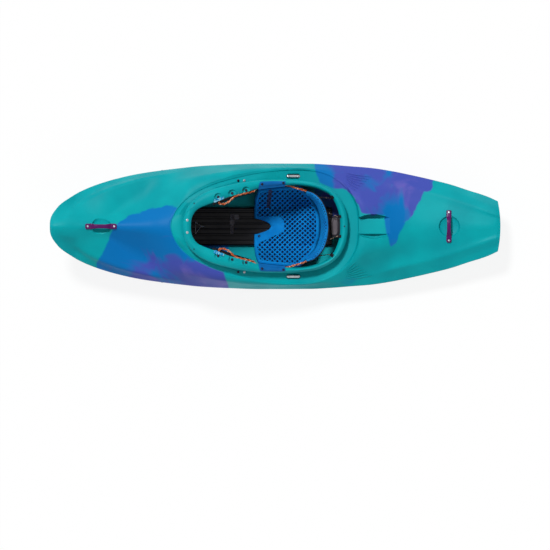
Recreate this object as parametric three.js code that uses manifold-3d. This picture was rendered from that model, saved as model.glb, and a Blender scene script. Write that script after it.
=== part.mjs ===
// A whitewater kayak with its outfitting, in millimetres.
// X runs from bow to stern, Y to starboard, Z up. The flat of the hull rests on z = 0.

import * as THREE from "three";
import { mergeVertices } from "three/addons/utils/BufferGeometryUtils.js";
import Module from "manifold-3d";

const wasm = await Module();
wasm.setup();

// Driving dimensions of the whole boat.
const hullLength = 2400;
const hullBeam = 670;
const hullHeight = 450;
const hullWall = 6.5;
const touchGap = 0.4;
const roundReachShare = 0.4;
const cutOverrun = 60;
const crowdingShare = 0.11;
const firstShare = 0.0006;
const middleShare = 0.5;

// How finely curved pieces are divided.
const hullStations = 36;
const spaceStations = 20;
const rimSteps = 48;
const roundSides = 16;

// Lengthwise lines of the hull: share of the length from the bow, share of the height.
const keelShares = [
  [0, 0.789],
  [0.01, 0.742],
  [0.023, 0.671],
  [0.037, 0.6],
  [0.057, 0.516],
  [0.079, 0.433],
  [0.123, 0.304],
  [0.167, 0.209],
  [0.212, 0.133],
  [0.256, 0.08],
  [0.3, 0.044],
  [0.356, 0.02],
  [0.422, 0.003],
  [0.46, 0],
  [0.62, 0],
  [0.655, 0.011],
  [0.7, 0.038],
  [0.733, 0.062],
  [0.777, 0.12],
  [0.822, 0.18],
  [0.91, 0.304],
  [0.955, 0.373],
  [1, 0.44],
];
const ridgeShares = [
  [0, 0.818],
  [0.006, 0.838],
  [0.019, 0.847],
  [0.032, 0.845],
  [0.057, 0.826],
  [0.09, 0.81],
  [0.134, 0.802],
  [0.167, 0.806],
  [0.201, 0.831],
  [0.223, 0.849],
  [0.245, 0.882],
  [0.267, 0.905],
  [0.289, 0.928],
  [0.307, 0.938],
  [0.343, 0.925],
  [0.391, 0.87],
  [0.427, 0.805],
  [0.467, 0.74],
  [0.509, 0.66],
  [0.56, 0.585],
  [0.6, 0.56],
  [0.64, 0.575],
  [0.67, 0.615],
  [0.695, 0.645],
  [0.71, 0.637],
  [0.733, 0.611],
  [0.755, 0.577],
  [0.777, 0.551],
  [0.799, 0.531],
  [0.83, 0.517],
  [0.89, 0.506],
  [0.97, 0.496],
  [0.984, 0.488],
  [0.994, 0.474],
  [1, 0.458],
];

// Lines beside the keel: share of the length, share of the half beam, share of the height.
const widestShares = [
  [0, 0.0, 0.803],
  [0.0012, 0.104, 0.795],
  [0.0058, 0.197, 0.775],
  [0.0145, 0.287, 0.738],
  [0.0233, 0.358, 0.706],
  [0.0454, 0.469, 0.642],
  [0.0679, 0.564, 0.577],
  [0.112, 0.69, 0.49],
  [0.156, 0.779, 0.424],
  [0.201, 0.845, 0.381],
  [0.245, 0.89, 0.368],
  [0.289, 0.928, 0.368],
  [0.334, 0.961, 0.368],
  [0.4, 0.985, 0.366],
  [0.467, 1, 0.36],
  [0.577, 1, 0.348],
  [0.622, 0.985, 0.34],
  [0.666, 0.961, 0.333],
  [0.71, 0.937, 0.333],
  [0.755, 0.89, 0.333],
  [0.799, 0.827, 0.336],
  [0.844, 0.755, 0.349],
  [0.888, 0.675, 0.371],
  [0.932, 0.57, 0.4],
  [0.977, 0.469, 0.429],
  [0.992, 0.425, 0.441],
  [1, 0.4, 0.449],
];
const ledgeShares = [
  [0, 0.0, 0.808],
  [0.0058, 0.15, 0.79],
  [0.0233, 0.27, 0.735],
  [0.0454, 0.355, 0.675],
  [0.0588, 0.391, 0.64],
  [0.082, 0.49, 0.61],
  [0.114, 0.603, 0.564],
  [0.165, 0.72, 0.511],
  [0.216, 0.812, 0.472],
  [0.245, 0.851, 0.456],
  [0.287, 0.9, 0.432],
  [0.312, 0.925, 0.422],
  [0.4, 0.975, 0.43],
  [0.5, 0.985, 0.43],
  [0.6, 0.955, 0.39],
  [0.7, 0.87, 0.37],
  [0.742, 0.82, 0.372],
  [0.8, 0.76, 0.37],
  [0.864, 0.63, 0.395],
  [0.937, 0.45, 0.43],
  [0.99, 0.31, 0.455],
  [1, 0.28, 0.453],
];
const wingShares = [
  [0, 0.0, 0.812],
  [0.0058, 0.11, 0.805],
  [0.0233, 0.2, 0.765],
  [0.0454, 0.28, 0.718],
  [0.0588, 0.33, 0.696],
  [0.082, 0.43, 0.672],
  [0.12, 0.57, 0.655],
  [0.165, 0.685, 0.603],
  [0.2, 0.75, 0.567],
  [0.245, 0.812, 0.531],
  [0.287, 0.862, 0.505],
  [0.312, 0.885, 0.495],
  [0.4, 0.945, 0.52],
  [0.5, 0.962, 0.49],
  [0.6, 0.925, 0.435],
  [0.7, 0.79, 0.41],
  [0.742, 0.72, 0.415],
  [0.766, 0.669, 0.43],
  [0.815, 0.591, 0.424],
  [0.864, 0.496, 0.43],
  [0.937, 0.328, 0.456],
  [0.99, 0.188, 0.469],
  [1, 0.17, 0.456],
];
const kneeShares = [
  [0, 0.0, 0.815],
  [0.0058, 0.06, 0.822],
  [0.0233, 0.12, 0.812],
  [0.0454, 0.16, 0.8],
  [0.082, 0.17, 0.76],
  [0.12, 0.17, 0.728],
  [0.136, 0.19, 0.705],
  [0.165, 0.31, 0.645],
  [0.2, 0.44, 0.592],
  [0.215, 0.5, 0.578],
  [0.245, 0.585, 0.624],
  [0.278, 0.682, 0.691],
  [0.307, 0.752, 0.747],
  [0.336, 0.8, 0.776],
  [0.365, 0.84, 0.77],
  [0.394, 0.87, 0.735],
  [0.422, 0.9, 0.69],
  [0.467, 0.925, 0.63],
  [0.511, 0.935, 0.585],
  [0.56, 0.93, 0.52],
  [0.6, 0.895, 0.48],
  [0.65, 0.79, 0.468],
  [0.7, 0.65, 0.48],
  [0.742, 0.56, 0.48],
  [0.766, 0.5, 0.47],
  [0.815, 0.43, 0.46],
  [0.864, 0.36, 0.458],
  [0.937, 0.24, 0.475],
  [0.99, 0.14, 0.476],
  [1, 0.12, 0.457],
];
const shoulderShares = [
  [0, 0.0, 0.817],
  [0.0058, 0.03, 0.835],
  [0.0233, 0.06, 0.838],
  [0.0454, 0.08, 0.825],
  [0.082, 0.085, 0.79],
  [0.12, 0.085, 0.77],
  [0.165, 0.15, 0.738],
  [0.2, 0.21, 0.73],
  [0.245, 0.3, 0.778],
  [0.278, 0.42, 0.818],
  [0.307, 0.61, 0.833],
  [0.336, 0.7, 0.836],
  [0.365, 0.755, 0.82],
  [0.394, 0.81, 0.785],
  [0.422, 0.85, 0.735],
  [0.467, 0.89, 0.672],
  [0.511, 0.9, 0.612],
  [0.56, 0.885, 0.542],
  [0.6, 0.83, 0.515],
  [0.65, 0.66, 0.535],
  [0.68, 0.5, 0.6],
  [0.695, 0.4, 0.638],
  [0.71, 0.36, 0.632],
  [0.733, 0.33, 0.6],
  [0.766, 0.3, 0.54],
  [0.815, 0.24, 0.498],
  [0.864, 0.19, 0.492],
  [0.937, 0.12, 0.49],
  [0.99, 0.07, 0.479],
  [1, 0.06, 0.458],
];
// The chine sits between the keel and the widest line.
const chineShares = [
  [0, 0.3],
  [0.05, 0.45],
  [0.15, 0.58],
  [0.3, 0.72],
  [0.45, 0.79],
  [0.65, 0.79],
  [0.8, 0.72],
  [0.93, 0.66],
  [1, 0.6],
];
// Half width of the flat planing bottom, as a share of the widest line.
const flatShares = [
  [0, 0.1],
  [0.1, 0.25],
  [0.3, 0.5],
  [0.45, 0.62],
  [0.65, 0.62],
  [0.8, 0.5],
  [1, 0.4],
];
const chineRiseShare = 0.15;
const chineRound = 60;
const widestRound = 14;
const shoulderRound = 34;

// The recessed gutter round the cockpit: its outer edge in plan, then its floor along the boat.
const gutterEdgeShares = [
  [0.269, 0],
  [0.271, 0.1],
  [0.28, 0.24],
  [0.294, 0.37],
  [0.315, 0.5],
  [0.343, 0.61],
  [0.38, 0.71],
  [0.436, 0.81],
  [0.491, 0.875],
  [0.549, 0.9],
  [0.589, 0.875],
  [0.618, 0.815],
  [0.646, 0.69],
  [0.668, 0.52],
  [0.681, 0.33],
  [0.685, 0.15],
  [0.686, 0],
];
const gutterFloorShares = [
  [0.269, 0.9],
  [0.288, 0.9],
  [0.307, 0.876],
  [0.343, 0.858],
  [0.367, 0.84],
  [0.391, 0.81],
  [0.427, 0.74],
  [0.445, 0.71],
  [0.467, 0.677],
  [0.496, 0.613],
  [0.529, 0.553],
  [0.56, 0.5],
  [0.58, 0.486],
  [0.598, 0.482],
  [0.631, 0.488],
  [0.657, 0.508],
  [0.688, 0.54],
];
const gutterCorner = 12;
const gutterFlare = 14;
const gutterCornerInShare = 0.33;
const gutterCornerUpShare = 0.25;

// The coaming: paired plan points of its lip and its opening, from the front to the rear.
const coamingShares = [
  [0.295, 0, 0.3138, 0],
  [0.2967, 0.12, 0.315, 0.11],
  [0.3025, 0.254, 0.3192, 0.188],
  [0.3146, 0.382, 0.3283, 0.269],
  [0.3354, 0.501, 0.3471, 0.334],
  [0.3654, 0.597, 0.375, 0.406],
  [0.3958, 0.654, 0.4033, 0.478],
  [0.4271, 0.701, 0.4313, 0.534],
  [0.4667, 0.734, 0.4633, 0.597],
  [0.5, 0.743, 0.4979, 0.63],
  [0.5333, 0.737, 0.5292, 0.651],
  [0.5625, 0.722, 0.5583, 0.648],
  [0.5925, 0.687, 0.5854, 0.615],
  [0.6125, 0.63, 0.6042, 0.567],
  [0.6296, 0.555, 0.6208, 0.501],
  [0.6458, 0.433, 0.6325, 0.382],
  [0.6563, 0.275, 0.64, 0.245],
  [0.6608, 0.134, 0.6438, 0.125],
  [0.6621, 0, 0.6446, 0],
];
const lipHeightShares = [
  [0.294, 0.942],
  [0.307, 0.94],
  [0.343, 0.927],
  [0.367, 0.911],
  [0.391, 0.876],
  [0.427, 0.822],
  [0.445, 0.789],
  [0.467, 0.744],
  [0.496, 0.689],
  [0.529, 0.64],
  [0.564, 0.602],
  [0.589, 0.589],
  [0.615, 0.584],
  [0.663, 0.586],
];
const lipReach = 18;
const coamingWall = 7;
const lipEdgeRise = 12;
const lipShoulderIn = 8;
const lipShoulderRise = 20;
const crownRise = 27;
const crownShare = 0.42;
const innerShoulderShare = 0.72;
const innerShoulderRise = 24;
const edgeRound = 3;
const edgeTopRise = 16;
const edgeRise = 11;
const edgeUnderRise = 5;
const lipUnderRound = 4;
const wallSink = 4;
const undersideShare = 0.33;
const wallMiddleShare = 0.5;

// Channel in the rear deck, round dishes under the two handles.
const channelFront = along(0.6817);
const channelRear = along(0.755);
const channelHalfTop = 65;
const channelHalfFloor = 40;
const channelFloorFront = upward(0.5644);
const channelFloorRear = upward(0.5756);
const channelSteps = 8;
const channelEndShare = 0.25;
const channelWallShare = 0.5;
const bowDishAt = along(0.115);
const bowDishRadius = 46;
const bowDishDepth = 24;
const sternDishAt = along(0.8867);
const sternDishRadius = 56;
const sternDishDepth = 20;
const dishSides = 18;
const dishRows = 14;

// Gaps between pieces, and the small steps used to measure a slope.
const seatGap = 0.7;
const layerGap = 0.5;
const liningGap = 1.3;
const slideGap = 0.6;
const holeGap = 0.3;
const meltGap = 0.02;
const probe = 2;
const probeShare = 0.01;
const halvings = 30;
const screwSides = 8;
const domeShare = 0.78;

// Screws: head radius, head height, shank radius, shank length.
const smallScrew = { headRadius: 7, headHeight: 3, shankRadius: 3, shankLength: 3.5 };
const handleScrew = { headRadius: 6, headHeight: 3, shankRadius: 2.8, shankLength: 11.5 };
const railScrew = { headRadius: 9, headHeight: 3.5, shankRadius: 3.4, shankLength: 16 };

// Where screws go: share of the length from the bow, then share of the rim's width or of the height.
const thighBoltShares = [
  [0.374, 0.7],
  [0.405, 0.77],
  [0.436, 0.83],
];
const pocketRadius = 18;
const pocketDepth = 4;
const lipBoltShares = [0.4183, 0.4317];
const lipBoltY = across(0.7254);
const railBoltShares = [
  [0.25, 0.349],
  [0.281, 0.326],
];
const rivetShare = 0.3054;
const rivetInsetShare = 0.5;
const hangerBoltShares = [0.4704, 0.518];
const hangerInsetShare = 0.46;

// Rescue bars.
const rescueBarX = along(0.5408);
const rescueBarY = across(0.794);
const rescueLength = 78;
const rescueWidth = 26;
const rescueDepth = 15;
const rescueBarRadius = 4.5;
const rescuePostRadius = 4;
const rescueBarRows = 3;
const rescueBarSides = 8;
const rescuePostSides = 10;

// Handles: share of the length, share of the width, share of the arch.
const handleShares = [
  [0, 0.7, 0],
  [0.04, 1, 0],
  [0.18, 1, 0],
  [0.3, 0.8, 0.85],
  [0.4, 0.75, 1],
  [0.6, 0.75, 1],
  [0.7, 0.8, 0.85],
  [0.82, 1, 0],
  [0.96, 1, 0],
  [1, 0.7, 0],
];
const bowHandleX = along(0.114);
const bowHandleLength = 167;
const bowHandleWidth = 29;
const bowHandleArch = 12;
const sternHandleX = along(0.8856);
const sternHandleLength = 172;
const sternHandleWidth = 27;
const sternHandleArch = 12;
const handleThick = 8;
const handleSink = 4;
const handleScrewIn = 13;
const handleFootShare = 0.8;
const handleTopShare = 0.75;
const handleSideShare = 0.4;

// Seat.
const seatBase = 50;
const seatNotchX = along(0.4904);
const seatFrontX = along(0.4567);
const seatRearX = along(0.5938);
const seatLobeX = along(0.4875);
const seatTailX = along(0.55);
const seatCornerBack = 19;
const seatRearSweep = 90;
const seatLobeRise = 18;
const seatTailRise = 70;
const seatSideDrop = 35;
const seatNotchShare = 0.24;
const seatCornerShare = 0.82;
const seatBottomShare = 0.5;
const seatSideBend = 1.5;
const seatRecessShare = 1.3;
const seatColumnShares = [0, 0.12, 0.26, 0.46, 0.6, 0.73, 0.84, 0.93, 1];
const seatRows = 9;
const padThick = 12;
const panThick = 5;
const hangerFrontShare = 0.465;
const hangerRearShare = 0.524;
const hangerThick = 5;
const hangerOverlap = 24;
const hangerSteps = 4;
const seatFrontBoltShares = [0.06, -0.29];
const seatBoltDepth = 2;

// Backband: shares of its depth, of its half width and of its rise (top edge, low edge).
const backbandShares = [
  [0, 1, 0.677, 0.355],
  [0.363, 0.887, 0.871, 0.226],
  [0.706, 0.672, 1, 0.129],
  [0.922, 0.376, 0.935, 0.052],
  [1, 0, 0.806, 0],
];
const backbandEndX = along(0.57);
const backbandDepth = 102;
const backbandHalf = across(0.5552);
const backbandLow = upward(0.4);
const backbandRise = 155;
const backbandPadThick = 18;
const backbandShellThick = 5;
const backbandSteps = 20;
const backbandEndShare = 0.5;
const backbandBend = 0.5;
// The pad's outline: share of its thickness inward, share of its height.
const backbandPadShares = [
  [0, 0.03],
  [0, 0.97],
  [0.6, 1],
  [1, 0.85],
  [1.1, 0.5],
  [1, 0.15],
  [0.6, 0],
];
const backbandShellLow = 0.06;
const backbandShellHigh = 0.94;

// Cords: shares of the length from the bow, of the half beam and of the height.
const tensionShares = [
  [0.5697, 0.5575, 0.5444],
  [0.5583, 0.5881, 0.5667],
  [0.5433, 0.6179, 0.5956],
  [0.53, 0.6493, 0.6089],
  [0.5233, 0.6549, 0.62],
  [0.5083, 0.6493, 0.6489],
  [0.4833, 0.6373, 0.7022],
  [0.47, 0.6269, 0.7244],
  [0.4617, 0.6209, 0.74],
  [0.4567, 0.591, 0.7533],
  [0.4517, 0.5597, 0.7778],
  [0.4375, 0.5322, 0.8178],
  [0.4117, 0.4815, 0.8667],
  [0.3979, 0.394, 0.8711],
  [0.3875, 0.3582, 0.8844],
  [0.3775, 0.3612, 0.9111],
  [0.3754, 0.3925, 0.939],
];
const tensionSteps = 40;
const cordDiameter = 4;
const cordSides = 8;
const bungeeSteps = 5;
const hookHalfTurnShare = 0.005;
const hookTurnShares = [0.4, 0.465];
const bungeeShares = [
  [0.18, 0.52],
  [0.37, 0.5],
];
const hookLip = 9;
const hookOut = 4.5;
const hookDrop = 8;
const hookThick = 3;
const hookSteps = 2;
const hookGap = 1.4;
const bungeeStartGap = 0.8;
const bungeeEndGap = 3.2;
const tabShare = 0.375;
const tabInsetShare = 0.88;
const tabLength = 58;
const tabWidth = 20;
const tabThick = 3;
const tabLift = 0.5;

// Thigh braces.
const braceFromSteps = 6;
const braceToSteps = 10;
const braceThick = 4;
const braceStart = 29;
const braceReach = 15;
const braceDrop = 31;
const braceGap = 1.3;
const braceStartShare = 2.5;
// The brace's turned-down edge: share of its reach, share of its drop.
const braceBendShares = [0.8, 0.3];
const braceInnerShares = [0.5, 0.4];

// Floor panel and foam pillars.
const floorPanelFront = along(0.2792);
const floorPanelRear = along(0.6254);
const floorPanelHalf = across(0.3015);
const floorPanelSteps = 7;
const floorRidgeShares = [-0.86, -0.58, -0.3, 0, 0.3, 0.58, 0.86];
const floorRidgeHalf = 9;
const floorRidgeRise = 6;
const frontPillarFrom = along(0.1333);
const frontPillarTo = along(0.2771);
const frontPillarHalf = 35;
const rearPillarFrom = along(0.6262);
const rearPillarTo = along(0.8167);
const rearPillarHalf = 55;

// Footrests.
const footrestX = along(0.2333);
const footPlateIn = across(0.179);
const footPlateWidth = across(0.403);
const footPlateLow = upward(0.2622);
const footPlateHeight = upward(0.329);
const footPlateThick = 8;
const footFoamThick = 15;
const footFoamShare = 0.94;
const footPlateShares = [
  [0, 0],
  [0.78, 0],
  [1, 0.22],
  [1, 0.79],
  [0.81, 0.91],
  [0, 1],
];
const railFront = along(0.2);
const railRear = along(0.2883);
const railZ = upward(0.373);
const railHeight = 36;
const railThick = 8;
const railStandOff = 11.5;
const carriageLength = 50;
const carriageThick = 5;
const carriageLip = 3;
const bossRadius = 7;
const bossReach = 60;
const armWide = 16;

function along(share) {
  return (share - middleShare) * hullLength;
}

function across(share) {
  return (share * hullBeam) / 2;
}

function upward(share) {
  return share * hullHeight;
}

function shareAt(x) {
  return x / hullLength + middleShare;
}

// A smooth line through hand-chosen rows that never overshoots between two of them.
function smoothLine(rows, column) {
  const n = rows.length;
  const step = (i) => rows[i + 1][0] - rows[i][0];
  const slope = (i) => (rows[i + 1][column] - rows[i][column]) / step(i);
  const tangent = rows.map((_, i) => {
    if (i === 0) return slope(0);
    if (i === n - 1) return slope(n - 2);
    const before = slope(i - 1);
    const after = slope(i);
    if (before * after <= 0) return 0;
    const first = 2 * step(i) + step(i - 1);
    const second = step(i) + 2 * step(i - 1);
    return (first + second) / (first / before + second / after);
  });
  return (at) => {
    if (at <= rows[0][0]) return rows[0][column];
    if (at >= rows[n - 1][0]) return rows[n - 1][column];
    let i = 0;
    while (rows[i + 1][0] < at) i += 1;
    const h = step(i);
    const t = (at - rows[i][0]) / h;
    const t2 = t * t;
    const t3 = t2 * t;
    return (
      (2 * t3 - 3 * t2 + 1) * rows[i][column] +
      (t3 - 2 * t2 + t) * h * tangent[i] +
      (3 * t2 - 2 * t3) * rows[i + 1][column] +
      (t3 - t2) * h * tangent[i + 1]
    );
  };
}

// Joins rings of equal count into one closed skin, capped at both ends or closed on itself.
// Each four-cornered face is split along its shorter diagonal, the same way on both sides.
function skin(rings, closed = false) {
  const count = rings[0].length;
  const positions = rings.flat().flatMap((p) => [p.x, p.y, p.z]);
  const index = [];
  const last = closed ? rings.length : rings.length - 1;
  for (let r = 0; r < last; r += 1) {
    const next = (r + 1) % rings.length;
    for (let i = 0; i < count; i += 1) {
      const j = (i + 1) % count;
      const a = r * count + i;
      const b = r * count + j;
      const c = next * count + i;
      const d = next * count + j;
      const rising = rings[r][i].distanceTo(rings[next][j]);
      const falling = rings[r][j].distanceTo(rings[next][i]);
      if (rising < falling + probeShare) index.push(a, b, d, a, d, c);
      else index.push(a, b, c, b, d, c);
    }
  }
  if (!closed) {
    addCap(positions, index, rings[0], 0, true);
    addCap(positions, index, rings[rings.length - 1], (rings.length - 1) * count, false);
  }
  const geometry = new THREE.BufferGeometry();
  geometry.setAttribute("position", new THREE.Float32BufferAttribute(positions, 3));
  geometry.setIndex(index);
  return geometry;
}

// Closes one end of a skin, whatever the outline of its ring.
function addCap(positions, index, ring, start, flip) {
  const normal = new THREE.Vector3();
  ring.forEach((p, i) => normal.add(new THREE.Vector3().crossVectors(p, ring[(i + 1) % ring.length])));
  const size = normal.toArray().map(Math.abs);
  const flat = (p) => {
    if (size[0] >= size[1] && size[0] >= size[2]) return new THREE.Vector2(p.y, p.z);
    return size[1] >= size[2] ? new THREE.Vector2(p.z, p.x) : new THREE.Vector2(p.x, p.y);
  };
  const outline = ring.map(flat);
  const turn = Math.sign(THREE.ShapeUtils.area(outline));
  THREE.ShapeUtils.triangulateShape(outline, []).forEach(([a, b, c]) => {
    const same = Math.sign(THREE.ShapeUtils.area([outline[a], outline[b], outline[c]])) === turn;
    if (same !== flip) index.push(start + a, start + b, start + c);
    else index.push(start + a, start + c, start + b);
  });
}

// A geometry as a solid that can be joined and cut.
function solid(geometry) {
  const bare = geometry.clone();
  bare.deleteAttribute("normal");
  bare.deleteAttribute("uv");
  const merged = mergeVertices(bare, 1e-3);
  const triVerts = new Uint32Array(merged.index.array);
  const vertProperties = new Float32Array(merged.attributes.position.array);
  let made = new wasm.Manifold(new wasm.Mesh({ numProp: 3, vertProperties, triVerts }));
  if (made.volume() < 0) {
    const turned = triVerts.slice();
    for (let i = 0; i < turned.length; i += 3) {
      [turned[i + 1], turned[i + 2]] = [turned[i + 2], turned[i + 1]];
    }
    made = new wasm.Manifold(new wasm.Mesh({ numProp: 3, vertProperties, triVerts: turned }));
  }
  return made;
}

// The geometry of a solid.
function shapeOf(made) {
  const mesh = made.getMesh();
  const geometry = new THREE.BufferGeometry();
  geometry.setAttribute("position", new THREE.BufferAttribute(mesh.vertProperties, 3));
  geometry.setIndex(new THREE.BufferAttribute(mesh.triVerts, 1));
  return geometry;
}

function biggest(made) {
  const bodies = made.decompose();
  return bodies.reduce((best, body) => (body.volume() > best.volume() ? body : best));
}

const hullLines = {
  keel: smoothLine(keelShares, 1),
  ridge: smoothLine(ridgeShares, 1),
  chine: smoothLine(chineShares, 1),
  flat: smoothLine(flatShares, 1),
  widestY: smoothLine(widestShares, 1),
  widestZ: smoothLine(widestShares, 2),
  ledgeY: smoothLine(ledgeShares, 1),
  ledgeZ: smoothLine(ledgeShares, 2),
  wingY: smoothLine(wingShares, 1),
  wingZ: smoothLine(wingShares, 2),
  kneeY: smoothLine(kneeShares, 1),
  kneeZ: smoothLine(kneeShares, 2),
  shoulderY: smoothLine(shoulderShares, 1),
  shoulderZ: smoothLine(shoulderShares, 2),
};

// The corner points of half a cross-section, from the keel up to the ridge, with their rounding.
function sectionCorners(share) {
  const halfBeam = hullBeam / 2;
  const keelZ = hullLines.keel(share) * hullHeight;
  const widestY = hullLines.widestY(share) * halfBeam;
  const widestZ = hullLines.widestZ(share) * hullHeight;
  const corner = (name) => [
    hullLines[name + "Y"](share) * halfBeam,
    hullLines[name + "Z"](share) * hullHeight,
  ];
  return [
    { at: [0, keelZ], round: 0 },
    { at: [hullLines.flat(share) * widestY, keelZ], round: 0 },
    {
      at: [hullLines.chine(share) * widestY, keelZ + (widestZ - keelZ) * chineRiseShare],
      round: chineRound,
    },
    { at: [widestY, widestZ], round: widestRound },
    { at: corner("ledge"), round: 0 },
    { at: corner("wing"), round: 0 },
    { at: corner("knee"), round: 0 },
    { at: corner("shoulder"), round: shoulderRound },
    { at: [0, hullLines.ridge(share) * hullHeight], round: 0 },
  ];
}

// Rounds each corner of an open line with a short curve of three points.
function roundCorners(corners, sharp) {
  const points = [];
  corners.forEach(({ at, round }, i) => {
    if (sharp || round === 0) {
      points.push(at);
      return;
    }
    const before = corners[i - 1].at;
    const after = corners[i + 1].at;
    const backLength = Math.hypot(before[0] - at[0], before[1] - at[1]);
    const aheadLength = Math.hypot(after[0] - at[0], after[1] - at[1]);
    const back = Math.min(round / Math.max(backLength, round), roundReachShare);
    const ahead = Math.min(round / Math.max(aheadLength, round), roundReachShare);
    const from = [0, 1].map((k) => at[k] + (before[k] - at[k]) * back);
    const to = [0, 1].map((k) => at[k] + (after[k] - at[k]) * ahead);
    const middle = [0, 1].map((k) => (from[k] + 2 * at[k] + to[k]) / 4);
    points.push(from, middle, to);
  });
  return points;
}

function hullRing(share, sharp) {
  const half = roundCorners(sectionCorners(share), sharp);
  const x = along(share);
  const right = half.map(([y, z]) => new THREE.Vector3(x, y, z));
  const left = half.slice(1, -1).reverse();
  return right.concat(left.map(([y, z]) => new THREE.Vector3(x, -y, z)));
}

// Stations crowd together towards the round bow and the blunt stern.
function hullBody(stations, sharp) {
  const rings = [];
  for (let i = 0; i <= stations; i += 1) {
    const even = i / stations;
    const share = even - crowdingShare * Math.sin(2 * Math.PI * even);
    rings.push(hullRing(Math.max(share, firstShare), sharp));
  }
  return solid(skin(rings));
}

function mirroredLoop(rows, steps) {
  const points = rows.map(([share, y]) => new THREE.Vector3(along(share), across(y), 0));
  const other = rows
    .slice(1, -1)
    .reverse()
    .map(([share, y]) => new THREE.Vector3(along(share), -across(y), 0));
  const curve = new THREE.CatmullRomCurve3(points.concat(other), true, "centripetal");
  return Array.from({ length: steps }, (_, i) => curve.getPointAt(i / steps));
}

const gutterFloor = smoothLine(gutterFloorShares, 1);
const lipHeight = smoothLine(lipHeightShares, 1);

function gutterFloorAt(x) {
  return gutterFloor(shareAt(x)) * hullHeight;
}

function lipHeightAt(x) {
  return lipHeight(shareAt(x)) * hullHeight;
}

function inwardNormals(loop) {
  return loop.map((_, i) => {
    const before = loop[(i + loop.length - 1) % loop.length];
    const after = loop[(i + 1) % loop.length];
    const run = after.clone().sub(before).normalize();
    const normal = new THREE.Vector3(-run.y, run.x, 0);
    return normal.dot(loop[i]) > 0 ? normal.negate() : normal;
  });
}

// The space taken out of the deck by the gutter: a flared wall, a rounded corner, a floor.
function gutterCut() {
  const edge = mirroredLoop(gutterEdgeShares, rimSteps);
  const inward = inwardNormals(edge);
  const ring = (inset, rise) =>
    edge.map((p, i) => {
      const q = p.clone().addScaledVector(inward[i], inset);
      q.z = gutterFloorAt(q.x) + rise;
      return q;
    });
  return solid(
    skin([
      ring(-gutterFlare, cutOverrun),
      ring(0, gutterCorner),
      ring(gutterCorner * gutterCornerInShare, gutterCorner * gutterCornerUpShare),
      ring(gutterCorner, 0),
      ring(cutOverrun, 0),
    ])
  );
}

// The rim of the cockpit at a place on its loop.
const rimCurves = (() => {
  const pick = (a, b) => {
    const half = coamingShares.map((row) => new THREE.Vector3(along(row[a]), across(row[b]), 0));
    const other = coamingShares
      .slice(1, -1)
      .reverse()
      .map((row) => new THREE.Vector3(along(row[a]), -across(row[b]), 0));
    return new THREE.CatmullRomCurve3(half.concat(other), true, "centripetal");
  };
  return { lip: pick(0, 1), opening: pick(2, 3) };
})();

function rimFrame(turn) {
  const lip = rimCurves.lip.getPoint(turn);
  const opening = rimCurves.opening.getPoint(turn);
  const inward = opening.clone().sub(lip);
  const width = inward.length();
  inward.normalize();
  return { lip, inward, width, base: lipHeightAt(lip.x) };
}

function onRim(frame, inset, rise) {
  const p = frame.lip.clone().addScaledVector(frame.inward, inset);
  p.z = frame.base + rise;
  return p;
}

function rimTopProfile(width) {
  return [
    [0, lipUnderRound],
    [edgeRound / 2, lipEdgeRise],
    [lipShoulderIn, lipShoulderRise],
    [width * crownShare, crownRise],
    [width * innerShoulderShare, innerShoulderRise],
    [width - edgeRound, edgeTopRise],
    [width, edgeRise],
  ];
}

function coamingRing(turn) {
  const frame = rimFrame(turn);
  const { width } = frame;
  const wallInner = lipReach + coamingWall;
  const onFloor = (inset) => {
    const p = onRim(frame, inset, 0);
    p.z = gutterFloorAt(p.x) - wallSink;
    return p;
  };
  const under = wallInner + (width - wallInner) / 2;
  return [
    onFloor(lipReach),
    onRim(frame, lipReach, edgeRound * undersideShare),
    onRim(frame, edgeRound, 0),
    ...rimTopProfile(width).map(([inset, rise]) => onRim(frame, inset, rise)),
    onRim(frame, width - edgeRound * undersideShare, edgeUnderRise),
    onRim(frame, under, edgeTopRise - coamingWall * undersideShare),
    onRim(frame, wallInner, crownRise - coamingWall),
    onFloor(wallInner),
  ];
}

function coamingSolid() {
  const rings = Array.from({ length: rimSteps }, (_, i) => coamingRing(i / rimSteps));
  return solid(skin(rings, true));
}

// What the cockpit opening takes out of the deck, half way into the coaming wall.
function openingCut() {
  const inset = lipReach + coamingWall * wallMiddleShare;
  const frames = Array.from({ length: rimSteps }, (_, i) => rimFrame(i / rimSteps));
  const ring = (rise) =>
    frames.map((frame) => {
      const p = onRim(frame, inset, 0);
      p.z = gutterFloorAt(p.x) + rise;
      return p;
    });
  return solid(skin([ring(-hullWall * 3), ring(cutOverrun * 2)]));
}

function channelCut(spread) {
  const length = channelRear - channelFront;
  const rings = Array.from({ length: channelSteps + 1 }, (_, i) => {
    const t = i / channelSteps;
    const x = channelFront + t * length;
    const floor = THREE.MathUtils.lerp(channelFloorFront, channelFloorRear, t);
    const fullness = channelEndShare + (1 - channelEndShare) * Math.sin(Math.PI * t);
    const bulge = (channelHalfTop - channelHalfFloor) * fullness;
    const wallTop = floor + channelHalfTop * channelWallShare;
    const low = channelHalfFloor + spread;
    const top = low + bulge;
    return [
      new THREE.Vector3(x, -low, floor),
      new THREE.Vector3(x, low, floor),
      new THREE.Vector3(x, top, wallTop),
      new THREE.Vector3(x, top, wallTop + cutOverrun),
      new THREE.Vector3(x, -top, wallTop + cutOverrun),
      new THREE.Vector3(x, -top, wallTop),
    ];
  });
  return solid(skin(rings));
}

function dishCut(x, radius, depth) {
  const ball = (radius * radius + depth * depth) / (2 * depth);
  const top = hullLines.ridge(shareAt(x)) * hullHeight;
  const geometry = new THREE.SphereGeometry(ball, dishSides, dishRows);
  geometry.translate(x, 0, top - depth + ball);
  return solid(geometry);
}

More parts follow.
